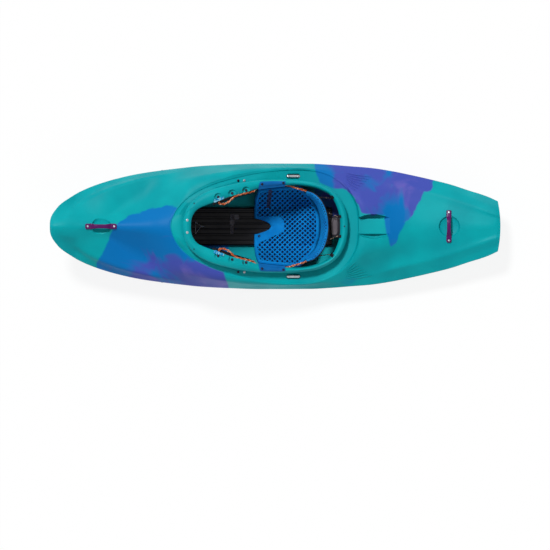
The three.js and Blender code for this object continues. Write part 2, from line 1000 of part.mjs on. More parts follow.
// The inside of a solid: what is left when it is moved by the wall in every direction.
function inside(made, wall) {
  const moves = [
    [0, 0, wall],
    [0, 0, -wall],
    [0, wall, 0],
    [0, -wall, 0],
    [wall, 0, 0],
    [-wall, 0, 0],
  ];
  return moves.reduce((left, move) => left.intersect(made.translate(move)), made);
}

// The surface on top of the rim, at an inset from the lip.
function rimTopRise(width, inset) {
  const profile = rimTopProfile(width);
  const i = Math.max(1, profile.findIndex(([edge]) => edge >= inset));
  const [fromInset, fromRise] = profile[i - 1];
  const [toInset, toRise] = profile[i];
  return THREE.MathUtils.mapLinear(inset, fromInset, toInset, fromRise, toRise);
}

// Where on the loop, from the front round the starboard side, the rim passes a given x.
function rimTurn(x, insetShare) {
  let low = 0;
  let high = 0.5;
  for (let i = 0; i < halvings; i += 1) {
    const middle = (low + high) / 2;
    const frame = rimFrame(middle);
    if (onRim(frame, frame.width * insetShare, 0).x < x) low = middle;
    else high = middle;
  }
  return low;
}

function rimFrameAt(x, side, insetShare) {
  const turn = rimTurn(x, insetShare);
  return rimFrame(side > 0 ? turn : 1 - turn);
}

// A piece that follows the rim between two places on its loop.
function rimStrip(fromTurn, toTurn, steps, side, profileOf) {
  const rings = Array.from({ length: steps + 1 }, (_, i) => {
    const turn = THREE.MathUtils.lerp(fromTurn, toTurn, i / steps);
    const frame = rimFrame(side > 0 ? turn : 1 - turn);
    return profileOf(frame.width).map(([inset, rise]) => onRim(frame, inset, rise));
  });
  return solid(skin(rings));
}

// A spot on top of the rim, with the way that its surface faces.
function rimSpot(x, side, insetShare) {
  const pointAt = (along_, share) => {
    const frame = rimFrameAt(along_, side, share);
    const inset = frame.width * share;
    return onRim(frame, inset, rimTopRise(frame.width, inset));
  };
  const at = pointAt(x, insetShare);
  const alongBoat = pointAt(x + probe, insetShare).sub(at);
  const across = pointAt(x, insetShare + probeShare).sub(at);
  const up = alongBoat.cross(across).normalize();
  return { at, up: up.z < 0 ? up.negate() : up };
}

function gutterSpot(x, y) {
  const at = new THREE.Vector3(x, y, gutterFloorAt(x));
  const slope = (gutterFloorAt(x + probe) - gutterFloorAt(x - probe)) / (2 * probe);
  return { at, up: new THREE.Vector3(-slope, 0, 1).normalize() };
}

// A spot on the hull's side between the chine and the widest line.
function sideSpot(x, z, side) {
  const pointAt = (along_, up_) => {
    const corners = sectionCorners(shareAt(along_));
    const [chineY, chineZ] = corners[2].at;
    const [widestY, widestZ] = corners[3].at;
    const out = THREE.MathUtils.mapLinear(up_, chineZ, widestZ, chineY, widestY);
    return new THREE.Vector3(along_, side * out, up_);
  };
  const at = pointAt(x, z);
  const out = pointAt(x + probe, z).sub(at).cross(pointAt(x, z + probe).sub(at)).normalize();
  return { at, up: out.y * side < 0 ? out.negate() : out };
}

function turned(geometry, direction, at) {
  const turn = new THREE.Quaternion().setFromUnitVectors(new THREE.Vector3(0, 1, 0), direction);
  return geometry.applyQuaternion(turn).translate(at.x, at.y, at.z);
}

// A screw with a domed head: its underside lies a gap above the spot, its shank goes down.
function screw(spot, headRadius, headHeight, shankRadius, shankLength) {
  const profile = [
    [0, -shankLength],
    [shankRadius, -shankLength],
    [shankRadius, 0],
    [headRadius, 0],
    [headRadius * domeShare, headHeight * domeShare],
    [0, headHeight],
  ];
  const points = profile.map(([r, h]) => new THREE.Vector2(r, h));
  const at = spot.at.clone().addScaledVector(spot.up, seatGap);
  return turned(new THREE.LatheGeometry(points, screwSides), spot.up, at);
}

function screwHole(spot, shankRadius, depth) {
  const length = depth + cutOverrun;
  const geometry = new THREE.CylinderGeometry(shankRadius, shankRadius, length, screwSides);
  return solid(turned(geometry, spot.up, spot.at.clone().addScaledVector(spot.up, length / 2 - depth)));
}

// A round rod or cord through a list of points.
function cordAlong(points, diameter, sides, steps) {
  const ring = new THREE.Shape();
  for (let i = 0; i < sides; i += 1) {
    const turn = (2 * Math.PI * i) / sides;
    const x = (Math.cos(turn) * diameter) / 2;
    const y = (Math.sin(turn) * diameter) / 2;
    if (i === 0) ring.moveTo(x, y);
    else ring.lineTo(x, y);
  }
  ring.closePath();
  const path = new THREE.CatmullRomCurve3(points, false, "centripetal");
  return new THREE.ExtrudeGeometry(ring, { steps, extrudePath: path, bevelEnabled: false });
}

function pillShape(length, width) {
  const half = (length - width) / 2;
  const shape = new THREE.Shape();
  shape.absarc(half, 0, width / 2, -Math.PI / 2, Math.PI / 2, false);
  shape.absarc(-half, 0, width / 2, Math.PI / 2, (3 * Math.PI) / 2, false);
  return shape;
}

// Rescue bars: a metal bar across a pill-shaped recess in the gutter, each side of the cockpit.
function rescueSpot(side) {
  return gutterSpot(rescueBarX, side * rescueBarY);
}

function lieAlong(geometry, spot, heading = new THREE.Vector3(1, 0, 0)) {
  const ahead = heading.clone().projectOnPlane(spot.up).normalize();
  const across = new THREE.Vector3().crossVectors(spot.up, ahead);
  const basis = new THREE.Matrix4().makeBasis(ahead, across, spot.up);
  return geometry.applyMatrix4(basis.setPosition(spot.at));
}

function rescueCut(side, curveSegments, spread) {
  const depth = rescueDepth + cutOverrun;
  const pill = pillShape(rescueLength + 2 * spread, rescueWidth + 2 * spread);
  const geometry = new THREE.ExtrudeGeometry(pill, {
    depth,
    bevelEnabled: false,
    curveSegments,
  });
  geometry.translate(0, 0, -rescueDepth);
  return solid(lieAlong(geometry, rescueSpot(side)));
}

function rescueBar(side) {
  const length = rescueLength - 2 * seatGap;
  const straight = length - 2 * rescueBarRadius;
  const bar = new THREE.CapsuleGeometry(rescueBarRadius, straight, rescueBarRows, rescueBarSides);
  bar.rotateZ(Math.PI / 2);
  let joined = solid(bar);
  [-1, 1].forEach((end) => {
    const postHeight = rescueDepth - seatGap;
    const post = new THREE.CylinderGeometry(rescuePostRadius, rescuePostRadius, postHeight, rescuePostSides);
    post.rotateX(Math.PI / 2);
    post.translate((end * (length - rescueWidth)) / 2, 0, -postHeight / 2);
    joined = joined.add(solid(post));
  });
  return lieAlong(shapeOf(joined), rescueSpot(side));
}

// The recesses in the deck. The inside of the hull is made with them spread a little wider,
// which keeps the wall thick along their lower edges.
function recessed(body, curveSegments, spread) {
  return body
    .subtract(gutterCut())
    .subtract(channelCut(spread))
    .subtract(dishCut(bowDishAt, bowDishRadius, bowDishDepth))
    .subtract(dishCut(sternDishAt, sternDishRadius, sternDishDepth))
    .subtract(rescueCut(1, curveSegments, spread))
    .subtract(rescueCut(-1, curveSegments, spread));
}

// Half-round pockets in the rim where the thigh braces are bolted.
function thighPocket([share, insetShare], side) {
  const spot = rimSpot(along(share), side, insetShare);
  const length = pocketDepth + cutOverrun;
  const geometry = new THREE.CylinderGeometry(pocketRadius, pocketRadius, length, roundSides);
  return solid(turned(geometry, spot.up, spot.at.clone().addScaledVector(spot.up, length / 2 - pocketDepth)));
}

function sunk(spot, depth) {
  return { at: spot.at.clone().addScaledVector(spot.up, -depth), up: spot.up };
}

const sides = [
  ["right", 1],
  ["left", -1],
];

// Every screw that goes into the hull, with its spot and size.
function hullScrews() {
  const list = [];
  const add = (name, spot, size) => list.push({ name, spot, ...size });
  sides.forEach(([word, side]) => {
    thighBoltShares.forEach(([share, insetShare], i) => {
      const spot = sunk(rimSpot(along(share), side, insetShare), pocketDepth);
      add(`thigh_bolt_${word}_${i + 1}`, spot, smallScrew);
    });
    lipBoltShares.forEach((share, i) => {
      add(`lip_bolt_${word}_${i + 1}`, gutterSpot(along(share), side * lipBoltY), smallScrew);
    });
    railBoltShares.forEach(([share, upShare], i) => {
      add(`rail_bolt_${word}_${i + 1}`, sideSpot(along(share), upShare * hullHeight, side), railScrew);
    });
    add(`front_rivet_${word}`, rimSpot(along(rivetShare), side, rivetInsetShare), smallScrew);
  });
  return list;
}

const fineBody = hullBody(hullStations, false);
const plainBody = recessed(hullBody(spaceStations, true), 2, hullWall / 2);
const hullSpace = biggest(inside(plainBody, hullWall).intersect(inside(fineBody, hullWall / 2)));
const liningWall = hullWall + liningGap;
const liningSpace = biggest(inside(plainBody, liningWall).intersect(inside(fineBody, liningWall)));

function hullShell() {
  let shell = recessed(fineBody, roundSides / 2, 0);
  shell = shell.subtract(hullSpace).subtract(openingCut()).add(coamingSolid());
  sides.forEach(([, side]) => {
    thighBoltShares.forEach((place) => {
      shell = shell.subtract(thighPocket(place, side));
    });
  });
  hullScrews().forEach(({ spot, shankRadius, shankLength }) => {
    shell = shell.subtract(screwHole(spot, shankRadius + holeGap, shankLength + holeGap));
  });
  return withScrewHoles(biggest(shell), holeGap).simplify(meltGap);
}

// Height of the deck beside the ridge, on straight lines between the section's corners.
function deckHeight(x, y) {
  const corners = sectionCorners(shareAt(x))
    .slice(3)
    .map(({ at }) => at);
  const side = Math.abs(y);
  let i = corners.length - 1;
  while (i > 1 && corners[i - 1][0] < side) i -= 1;
  return THREE.MathUtils.mapLinear(side, corners[i][0], corners[i - 1][0], corners[i][1], corners[i - 1][1]);
}

// A grab handle: a pad at each end and an arched grip between, along a line on the deck.
function handle(placeAt, length, width, arch) {
  const rings = handleShares.map(([share, widthShare, archShare]) => {
    const half = (width * widthShare) / 2;
    const { centre, across } = placeAt((share - middleShare) * length);
    const low = centre.z + arch * archShare - handleSink * (1 - archShare);
    const high = centre.z + arch * archShare + handleThick;
    const side = centre.z + arch * archShare + handleThick * handleSideShare;
    const corner = (y, z) => new THREE.Vector3(centre.x, centre.y, z).addScaledVector(across, y);
    return [
      corner(-half * handleFootShare, low),
      corner(half * handleFootShare, low),
      corner(half, side),
      corner(half * handleTopShare, high),
      corner(-half * handleTopShare, high),
      corner(-half, side),
    ];
  });
  return solid(skin(rings));
}

function bowHandlePlace(run) {
  const x = bowHandleX + run;
  return { centre: new THREE.Vector3(x, 0, deckHeight(x, 0)), across: new THREE.Vector3(0, 1, 0) };
}

function sternHandlePlace(run) {
  const centre = new THREE.Vector3(sternHandleX, run, deckHeight(sternHandleX, run));
  return { centre, across: new THREE.Vector3(-1, 0, 0) };
}

// The place of a screw on a handle's pad.
function handleSpot(placeAt, run) {
  const { centre, across } = placeAt(run);
  const ahead = placeAt(run + probe).centre.sub(placeAt(run - probe).centre);
  const up = ahead.cross(across).normalize();
  return { at: centre.addScaledVector(up, handleThick), up };
}

function handleScrewSpots() {
  const bowReach = bowHandleLength / 2 - handleScrewIn;
  const sternReach = sternHandleLength / 2 - handleScrewIn;
  return [
    { name: "bow_handle_screw_front", spot: handleSpot(bowHandlePlace, -bowReach) },
    { name: "bow_handle_screw_rear", spot: handleSpot(bowHandlePlace, bowReach) },
    { name: "stern_handle_screw_right", spot: handleSpot(sternHandlePlace, sternReach) },
    { name: "stern_handle_screw_left", spot: handleSpot(sternHandlePlace, -sternReach) },
  ];
}

function withScrewHoles(made, gap) {
  const { shankRadius, shankLength } = handleScrew;
  return handleScrewSpots().reduce(
    (left, { spot }) => left.subtract(screwHole(spot, shankRadius + gap, shankLength + gap)),
    made
  );
}

// A piece trimmed so that it lies just clear of the hull on the given side of it.
function clearOf(made, hull, ...moves) {
  return biggest(moves.reduce((left, move) => left.subtract(hull.translate(move)), made));
}

function onHull(made, hull) {
  return withScrewHoles(clearOf(made, hull, [0, 0, touchGap]), holeGap * 2);
}

function openingHalf(x) {
  const frame = rimFrameAt(x, 1, 1);
  return onRim(frame, frame.width, 0).y;
}

// The seat's upper face: a bowl with a notch in front, lobes under the thighs, sides up to the rim.
function seatPoint(a, b) {
  const side = Math.abs(b);
  const notch = Math.min(1, side / seatNotchShare);
  const corner = Math.max(0, (side - seatCornerShare) / (1 - seatCornerShare));
  const front = seatNotchX - (seatNotchX - seatFrontX) * notch * notch + seatCornerBack * corner * corner;
  const rear = seatRearX - seatRearSweep * side ** 3;
  const x = THREE.MathUtils.lerp(front, rear, a);
  const rise = Math.max(0, (side - seatBottomShare) / (1 - seatBottomShare)) ** seatSideBend;
  const lobe = Math.max(0, (seatLobeX - x) / (seatLobeX - seatFrontX));
  const tail = Math.max(0, (x - seatTailX) / (seatRearX - seatTailX));
  const base = seatBase + (seatLobeRise * lobe * lobe + seatTailRise * tail * tail) * (1 - rise);
  const sideTop = lipHeightAt(x) - seatSideDrop;
  const half = openingHalf(x) - liningGap * 2 - padThick - layerGap - panThick;
  return new THREE.Vector3(x, b * half, base + (sideTop - base) * rise);
}

function seatNormal(a, b) {
  const ahead = seatPoint(Math.min(1, a + probeShare), b).sub(seatPoint(Math.max(0, a - probeShare), b));
  const across = seatPoint(a, Math.min(1, b + probeShare)).sub(seatPoint(a, Math.max(-1, b - probeShare)));
  const normal = ahead.cross(across).normalize();
  return normal.z < 0 ? normal.negate() : normal;
}

// A layer of the seat between two depths under its upper face.
function seatLayer(from, to) {
  const columns = seatColumnShares
    .slice(1)
    .reverse()
    .map((share) => -share)
    .concat(seatColumnShares);
  const rings = columns.map((b) => {
    const line = (depth) =>
      Array.from({ length: seatRows + 1 }, (_, i) => {
        const a = i / seatRows;
        return seatPoint(a, b).addScaledVector(seatNormal(a, b), -depth);
      });
    return line(from).concat(line(to).reverse());
  });
  return solid(skin(rings));
}

// The plate bolted on the rim and the wall that drops from it to the seat.
function seatHanger(side) {
  const above = seatGap + hangerThick;
  const wallDrop = seatSideDrop + hangerOverlap;
  const turns = [hangerFrontShare, hangerRearShare].map((share) => rimTurn(along(share), middleShare));
  return rimStrip(turns[0], turns[1], hangerSteps, side, (width) => {
    const top = rimTopProfile(width).slice(2, -1);
    const edge = width + liningGap;
    const over = top.map(([inset, rise]) => [inset, rise + above]);
    const under = [...top].reverse();
    return [
      ...over,
      [edge + hangerThick, edgeTopRise + seatGap],
      [edge + hangerThick, -wallDrop],
      [edge, -wallDrop],
      [edge, edgeTopRise],
      ...under,
    ];
  });
}

function seatBoltSpots() {
  return sides.flatMap(([word, side]) =>
    hangerBoltShares.map((share, i) => {
      const spot = rimSpot(along(share), side, hangerInsetShare);
      return { name: `seat_bolt_${word}_${i + 1}`, spot: sunk(spot, -seatGap - hangerThick) };
    })
  );
}

function seatPan(hull) {
  let pan = seatLayer(padThick + layerGap + panThick, padThick + layerGap);
  sides.forEach(([, side]) => {
    const moves = [
      [0, 0, touchGap],
      [0, -side * touchGap, 0],
    ];
    pan = pan.add(clearOf(seatHanger(side), hull, ...moves));
  });
  const { shankRadius, shankLength } = smallScrew;
  seatBoltSpots().forEach(({ spot }) => {
    pan = pan.subtract(screwHole(spot, shankRadius + holeGap, shankLength + holeGap));
  });
  return biggest(pan);
}

function seatFrontSpot() {
  const [a, b] = seatFrontBoltShares;
  return sunk({ at: seatPoint(a, b), up: seatNormal(a, b) }, seatBoltDepth);
}

function seatPad() {
  const { headRadius, shankRadius, shankLength } = smallScrew;
  const spot = seatFrontSpot();
  const recess = screwHole(sunk(spot, -seatBoltDepth), headRadius * seatRecessShare, seatBoltDepth);
  const hole = screwHole(spot, shankRadius + holeGap, shankLength + holeGap);
  return biggest(seatLayer(0, padThick).subtract(recess).subtract(hole));
}

// The backband: an arc behind the seat, a stiff band outside and a pad inside.
function backbandStations() {
  const half = backbandShares.map(([depth, reach, top, low]) => ({
    x: backbandEndX + depth * backbandDepth,
    y: reach * backbandHalf,
    top: backbandLow + top * backbandRise,
    low: backbandLow + low * backbandRise,
  }));
  const other = half
    .slice(0, -1)
    .reverse()
    .map((row) => ({ ...row, y: -row.y }));
  return half.concat(other);
}

function backbandPath() {
  const stations = backbandStations();
  const path = new THREE.CatmullRomCurve3(stations.map(({ x, y }) => new THREE.Vector3(x, y, 0)));
  const height = new THREE.CatmullRomCurve3(stations.map(({ top, low }) => new THREE.Vector3(top, low, 0)));
  return { path, height };
}

function backbandLayer(profileOf) {
  const { path, height } = backbandPath();
  const rings = Array.from({ length: backbandSteps + 1 }, (_, i) => {
    const t = i / backbandSteps;
    const at = path.getPoint(t);
    const run = path.getTangent(t);
    const out = new THREE.Vector3(-run.y, run.x, 0);
    const { x: top, y: low } = height.getPoint(t);
    const fullness = Math.sin(Math.PI * t) ** backbandBend;
    return profileOf(fullness).map(([outward, share]) => {
      const p = at.clone().addScaledVector(out, outward);
      p.z = THREE.MathUtils.lerp(low, top, share);
      return p;
    });
  });
  return solid(skin(rings));
}

function backbandPad() {
  return backbandLayer((fullness) => {
    const thick = backbandPadThick * (backbandEndShare + (1 - backbandEndShare) * fullness);
    return backbandPadShares.map(([inward, up]) => [-thick * inward, up]);
  });
}

function backbandShell() {
  const from = layerGap;
  const to = layerGap + backbandShellThick;
  return backbandLayer(() => [
    [from, backbandShellLow],
    [to, backbandShellLow],
    [to, backbandShellHigh],
    [from, backbandShellHigh],
  ]);
}

// The ridged panel on the floor in front of and under the seat.
function floorPanel() {
  const top = seatBase - padThick - layerGap * 2 - panThick;
  const rings = Array.from({ length: floorPanelSteps + 1 }, (_, i) => {
    const x = THREE.MathUtils.lerp(floorPanelFront, floorPanelRear, i / floorPanelSteps);
    const rise = hullLines.keel(shareAt(x)) * hullHeight;
    const ridges = floorRidgeShares.flatMap((share) => {
      const y = share * floorPanelHalf;
      return [
        [y - floorRidgeHalf, top - floorRidgeRise],
        [y - floorRidgeHalf / 2, top],
        [y + floorRidgeHalf / 2, top],
        [y + floorRidgeHalf, top - floorRidgeRise],
      ];
    });
    const outline = [
      [-floorPanelHalf, -top],
      [-floorPanelHalf, top - floorRidgeRise * 2],
      ...ridges,
      [floorPanelHalf, top - floorRidgeRise * 2],
      [floorPanelHalf, -top],
    ];
    return outline.map(([y, z]) => new THREE.Vector3(x, y, z + rise));
  });
  return biggest(solid(skin(rings)).intersect(liningSpace));
}

// A foam pillar stands on the floor and reaches to just under the deck.
function pillar(fromX, toX, half) {
  const length = toX - fromX;
  const geometry = new THREE.BoxGeometry(length, half * 2, hullHeight * 2);
  geometry.translate(fromX + length / 2, 0, 0);
  const low = liningSpace.translate([0, 0, layerGap - liningGap]);
  return biggest(solid(geometry).intersect(low).intersect(low.translate([0, 0, -liningGap])));
}

// The rail inside the starboard side runs level, just clear of the hull at both ends.
const rail = (() => {
  const [front, rear] = [railFront, railRear].map((x) => {
    const beside = sideSpot(x, railZ - railHeight / 2, 1).at;
    return new THREE.Vector3(x, beside.y - railStandOff, railZ);
  });
  const ahead = front.clone().sub(rear).normalize();
  const inward = new THREE.Vector3(-ahead.y, ahead.x, 0);
  return { rear, ahead, inward, length: front.distanceTo(rear) };
})();

function outlineShape(points) {
  return new THREE.Shape(points.map(([x, y]) => new THREE.Vector2(x, y)));
}

// A profile (inward from the rail's outer face, up) run along the rail from a place on it.
function alongRail(profile, fromRun, length) {
  const geometry = new THREE.ExtrudeGeometry(outlineShape(profile), { depth: length, bevelEnabled: false });
  const up = new THREE.Vector3(0, 0, 1);
  const start = rail.rear.clone().addScaledVector(rail.ahead, fromRun);
  const basis = new THREE.Matrix4().makeBasis(rail.inward, up, rail.ahead).setPosition(start);
  return solid(geometry.applyMatrix4(basis));
}

// Pieces made for the starboard side are mirrored for the port side.
function onSide(made, side) {
  return side > 0 ? made : made.mirror([0, 1, 0]);
}

// A stand-off between the hull and the rail, round each bolt.
function railBoss(spot) {
  const geometry = new THREE.CylinderGeometry(bossRadius, bossRadius, bossReach, screwSides);
  const start = hullWall + liningGap * 2;
  const centre = spot.at.clone().addScaledVector(spot.up, -start - bossReach / 2);
  const boss = solid(turned(geometry, spot.up, centre));
  const outer = alongRail(
    [
      [-bossReach, -bossReach],
      [slideGap, -bossReach],
      [slideGap, bossReach],
      [-bossReach, bossReach],
    ],
    0,
    rail.length
  );
  return boss.intersect(outer);
}

function footrestRail() {
  const half = railHeight / 2;
  let made = alongRail(
    [
      [0, -half],
      [railThick, -half],
      [railThick, half],
      [0, half],
    ],
    0,
    rail.length
  );
  railBoltShares.forEach(([share, upShare]) => {
    const spot = sideSpot(along(share), upShare * hullHeight, 1);
    const hole = screwHole(spot, railScrew.shankRadius + holeGap, railScrew.shankLength + holeGap);
    made = made.add(railBoss(spot)).subtract(hole);
  });
  return made;
}

// The carriage wraps the rail's inner face, top and bottom.
function carriage() {
  const half = railHeight / 2 + slideGap;
  const wall = railThick + slideGap;
  const run = (railRear - footrestX) / -rail.ahead.x - carriageLength / 2;
  return alongRail(
    [
      [carriageLip, -half - carriageThick],
      [wall + carriageThick, -half - carriageThick],
      [wall + carriageThick, half + carriageThick],
      [carriageLip, half + carriageThick],
      [carriageLip, half],
      [wall, half],
      [wall, -half],
      [carriageLip, -half],
    ],
    run,
    carriageLength
  );
}

function footBlock(fromX, thick, share) {
  const inset = (1 - share) / 2;
  const points = footPlateShares.map(([across, up]) => [
    footPlateIn + (inset + across * share) * footPlateWidth,
    footPlateLow + (inset + up * share) * footPlateHeight,
  ]);
  const geometry = new THREE.ExtrudeGeometry(outlineShape(points), { depth: thick, bevelEnabled: false });
  const basis = new THREE.Matrix4().makeBasis(
    new THREE.Vector3(0, 1, 0),
    new THREE.Vector3(0, 0, 1),
    new THREE.Vector3(1, 0, 0)
  );
  return solid(geometry.applyMatrix4(basis.setPosition(fromX, 0, 0)));
}

function footrestPlate() {
  const railFace = rail.rear.y + ((railRear - footrestX) * rail.ahead.y) / -rail.ahead.x;
  const armFrom = footPlateIn + footPlateWidth / 2;
  const armTo = railFace - railThick - carriageThick;
  const arm = new THREE.BoxGeometry(armWide, armTo - armFrom, railHeight);
  arm.translate(footrestX, (armTo + armFrom) / 2, railZ);
  return footBlock(footrestX - footPlateThick, footPlateThick, 1).add(solid(arm)).add(carriage());
}

function footrestFoam() {
  return footBlock(footrestX + armWide / 2 + layerGap, footFoamThick, footFoamShare);
}

// A thigh brace hangs under the rim and turns down inside the opening.
function thighBrace(side) {
  const wallInner = lipReach + coamingWall;
  const [from, to] = [braceFromSteps / rimSteps, braceToSteps / rimSteps];
  return rimStrip(from, to, braceToSteps - braceFromSteps, side, (width) => {
    const middle = wallInner + (width - wallInner) / 2;
    const middleRise = edgeTopRise - coamingWall * undersideShare - braceGap;
    const startRise = crownRise - coamingWall - braceGap * braceStartShare;
    const [bendReach, bendDrop] = braceBendShares;
    const [innerReach, innerDrop] = braceInnerShares;
    const edge = edgeUnderRise - braceGap;
    return [
      [braceStart, startRise],
      [middle, middleRise],
      [width, edge],
      [width + braceReach * bendReach, -braceDrop * bendDrop],
      [width + braceReach, -braceDrop],
      [width + braceReach - braceThick, -braceDrop],
      [width + braceReach * innerReach, -braceDrop * innerDrop],
      [width - braceThick, edge - braceThick],
      [middle, middleRise - braceThick],
      [braceStart, startRise - braceThick],
    ];
  });
}

function bungeeHook(turn, side) {
  return rimStrip(turn - hookHalfTurnShare, turn + hookHalfTurnShare, hookSteps, side, (width) => {
    const back = rimTopRise(width, width - hookLip) + hookGap;
    const edge = width + hookGap;
    return [
      [width - hookLip, back],
      [width - hookLip, back + hookThick],
      [edge + hookOut, edgeTopRise + hookThick],
      [edge + hookOut, -hookDrop],
      [edge, -hookDrop],
      [edge, edgeTopRise + hookGap],
    ];
  });
}

// A bungee from the back of the backband to its hook.
function bungee(index, side) {
  const [runShare, upShare] = bungeeShares[index];
  const { path, height } = backbandPath();
  const from = path.getPoint(runShare);
  const run = path.getTangent(runShare);
  const { x: top, y: low } = height.getPoint(runShare);
  const clear = layerGap * 2 + backbandShellThick + bungeeStartGap;
  from.add(new THREE.Vector3(-run.y, run.x, 0).multiplyScalar(clear));
  from.z = THREE.MathUtils.lerp(low, top, upShare);
  const frame = rimFrame(hookTurnShares[index]);
  const to = onRim(frame, frame.width + hookOut + bungeeEndGap, 0);
  const points = [from, from.clone().lerp(to, middleShare), to].map((p) => p.setY(p.y * side));
  return cordAlong(points, cordDiameter, cordSides, bungeeSteps);
}

function tensionCord(side) {
  const points = tensionShares.map(
    ([share, y, z]) => new THREE.Vector3(along(share), side * across(y), z * hullHeight)
  );
  return cordAlong(points, cordDiameter, cordSides, tensionSteps);
}

// A pull tab lies on the inner slope of the rim.
function pullTab(side) {
  const spot = rimSpot(along(tabShare), side, tabInsetShare);
  const heading = rimSpot(along(tabShare) + probe, side, tabInsetShare).at.sub(spot.at);
  const geometry = new THREE.BoxGeometry(tabLength, tabWidth, tabThick);
  return lieAlong(geometry, sunk(spot, -tabLift - tabThick / 2), heading);
}

function plastic(color, roughness) {
  return new THREE.MeshStandardMaterial({ color, roughness, metalness: 0 });
}

const teal = () => plastic(0x0aa6a3, 0.42);
const magenta = () => plastic(0x8e2f86, 0.4);
const black = () => plastic(0x141517, 0.55);
const foamBlack = () => plastic(0x1b1c1e, 0.9);
const padBlue = () => plastic(0x1f5fb4, 0.8);
const plateBlue = () => plastic(0x2a74c9, 0.45);
const cordOrange = () => plastic(0xd97b3a, 0.7);
const tabCyan = () => plastic(0x27b7d6, 0.6);
const steel = () => new THREE.MeshStandardMaterial({ color: 0xc4c7cb, roughness: 0.3, metalness: 1 });

const kayak = new THREE.Group();

function place(name, geometry, material) {
  const mesh = new THREE.Mesh(geometry, material);
  mesh.name = name;
  kayak.add(mesh);
}

function placeSolid(name, made, material) {
  place(name, shapeOf(made), material);
}

function placeScrew(name, spot, { headRadius, headHeight, shankRadius, shankLength }) {
  place(name, screw(spot, headRadius, headHeight, shankRadius, shankLength), steel());
}

const hull = hullShell();
placeSolid("hull_shell", hull, teal());

const bowHandle = handle(bowHandlePlace, bowHandleLength, bowHandleWidth, bowHandleArch);
const sternHandle = handle(sternHandlePlace, sternHandleLength, sternHandleWidth, sternHandleArch);
placeSolid("bow_handle", onHull(bowHandle, hull), magenta());
placeSolid("stern_handle", onHull(sternHandle, hull), magenta());
handleScrewSpots().forEach(({ name, spot }) => placeScrew(name, spot, handleScrew));

placeSolid("seat_pan", seatPan(hull), plateBlue());
placeSolid("seat_pad", seatPad(), padBlue());
seatBoltSpots().forEach(({ name, spot }) => placeScrew(name, spot, smallScrew));
placeScrew("seat_front_bolt", seatFrontSpot(), smallScrew);

placeSolid("backband_shell", backbandShell(), black());
placeSolid("backband_pad", backbandPad(), padBlue());
placeSolid("floor_panel", floorPanel(), foamBlack());
placeSolid("front_pillar", pillar(frontPillarFrom, frontPillarTo, frontPillarHalf), foamBlack());
placeSolid("rear_pillar", pillar(rearPillarFrom, rearPillarTo, rearPillarHalf), foamBlack());

hullScrews().forEach(({ name, spot, ...size }) => placeScrew(name, spot, size));

sides.forEach(([word, side]) => {
  place(`rescue_bar_${word}`, rescueBar(side), steel());
  placeSolid(`footrest_rail_${word}`, onSide(footrestRail(), side), black());
  placeSolid(`footrest_plate_${word}`, onSide(footrestPlate(), side), black());
  placeSolid(`footrest_foam_${word}`, onSide(footrestFoam(), side), foamBlack());
  placeSolid(`thigh_brace_${word}`, thighBrace(side), black());
  place(`backband_cord_${word}`, tensionCord(side), cordOrange());
  place(`pull_tab_${word}`, pullTab(side), tabCyan());
  ["side", "rear"].forEach((end, i) => {
    placeSolid(`bungee_hook_${word}_${end}`, bungeeHook(hookTurnShares[i], side), black());
    place(`bungee_${word}_${end}`, bungee(i, side), cordOrange());
  });
});

export default kayak;
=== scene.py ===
# %% [markdown]
# # A whitewater kayak, dressed for its picture
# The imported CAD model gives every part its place. This notebook builds the pieces that a camera
# sees: a moulded plastic shell with rounded edges, its foam liner, webbing, cords and bolts.
# Everything is in metres in the frame of the CAD: X runs from bow to stern, Y to starboard and Z
# up.

# %% Load the frame
import math

import bmesh
import bpy
import numpy as np
from mathutils import Matrix, Vector


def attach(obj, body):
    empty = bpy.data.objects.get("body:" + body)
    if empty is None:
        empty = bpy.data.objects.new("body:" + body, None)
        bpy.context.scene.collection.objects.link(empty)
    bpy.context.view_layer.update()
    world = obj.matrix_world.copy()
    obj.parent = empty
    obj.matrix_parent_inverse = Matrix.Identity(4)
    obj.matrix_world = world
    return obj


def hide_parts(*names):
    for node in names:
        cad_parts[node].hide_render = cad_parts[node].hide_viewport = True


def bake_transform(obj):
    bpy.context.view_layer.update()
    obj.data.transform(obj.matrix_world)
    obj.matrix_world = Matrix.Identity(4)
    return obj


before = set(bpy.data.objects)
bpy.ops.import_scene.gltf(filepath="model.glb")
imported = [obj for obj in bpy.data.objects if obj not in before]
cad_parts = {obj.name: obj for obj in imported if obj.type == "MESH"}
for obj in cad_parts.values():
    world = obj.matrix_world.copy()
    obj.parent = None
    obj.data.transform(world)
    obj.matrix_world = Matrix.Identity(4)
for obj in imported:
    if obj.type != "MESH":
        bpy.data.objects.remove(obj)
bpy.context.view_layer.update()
print("nodes:", len(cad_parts))

# %% [markdown]
# ## The camera comes first
# The picture is a plan view with no perspective, so the camera looks straight down and is
# orthographic. The kayak lies above the middle of the frame, so the camera stands a little to port
# of it.

# %% Camera
VIEW_WIDTH = 2.927
VIEW_SIDE_STEP = -0.259
CAMERA_HEIGHT = 5
CAMERA_REACH = 50
PICTURE_PIXELS = 550


def new_object(name, data):
    made = bpy.data.objects.new(name, data)
    bpy.context.scene.collection.objects.link(made)
    return made


camera = new_object("camera", bpy.data.cameras.new("camera"))
camera.data.type = "ORTHO"
camera.data.ortho_scale = VIEW_WIDTH
camera.data.clip_end = CAMERA_REACH
camera.location = (0, VIEW_SIDE_STEP, CAMERA_HEIGHT)
bpy.context.scene.camera = camera
bpy.context.scene.view_settings.view_transform = "Standard"
print("millimetres for each pixel:", round(VIEW_WIDTH * 1000 / PICTURE_PIXELS, 2))

# %% [markdown]
# ## Light and floor
# One broad sun from starboard models the deck and leaves soft shadows in the gutter. The world
# fills them. Only the camera and reflections see a white world, so the background is white while
# the object's colours stay as they are written.

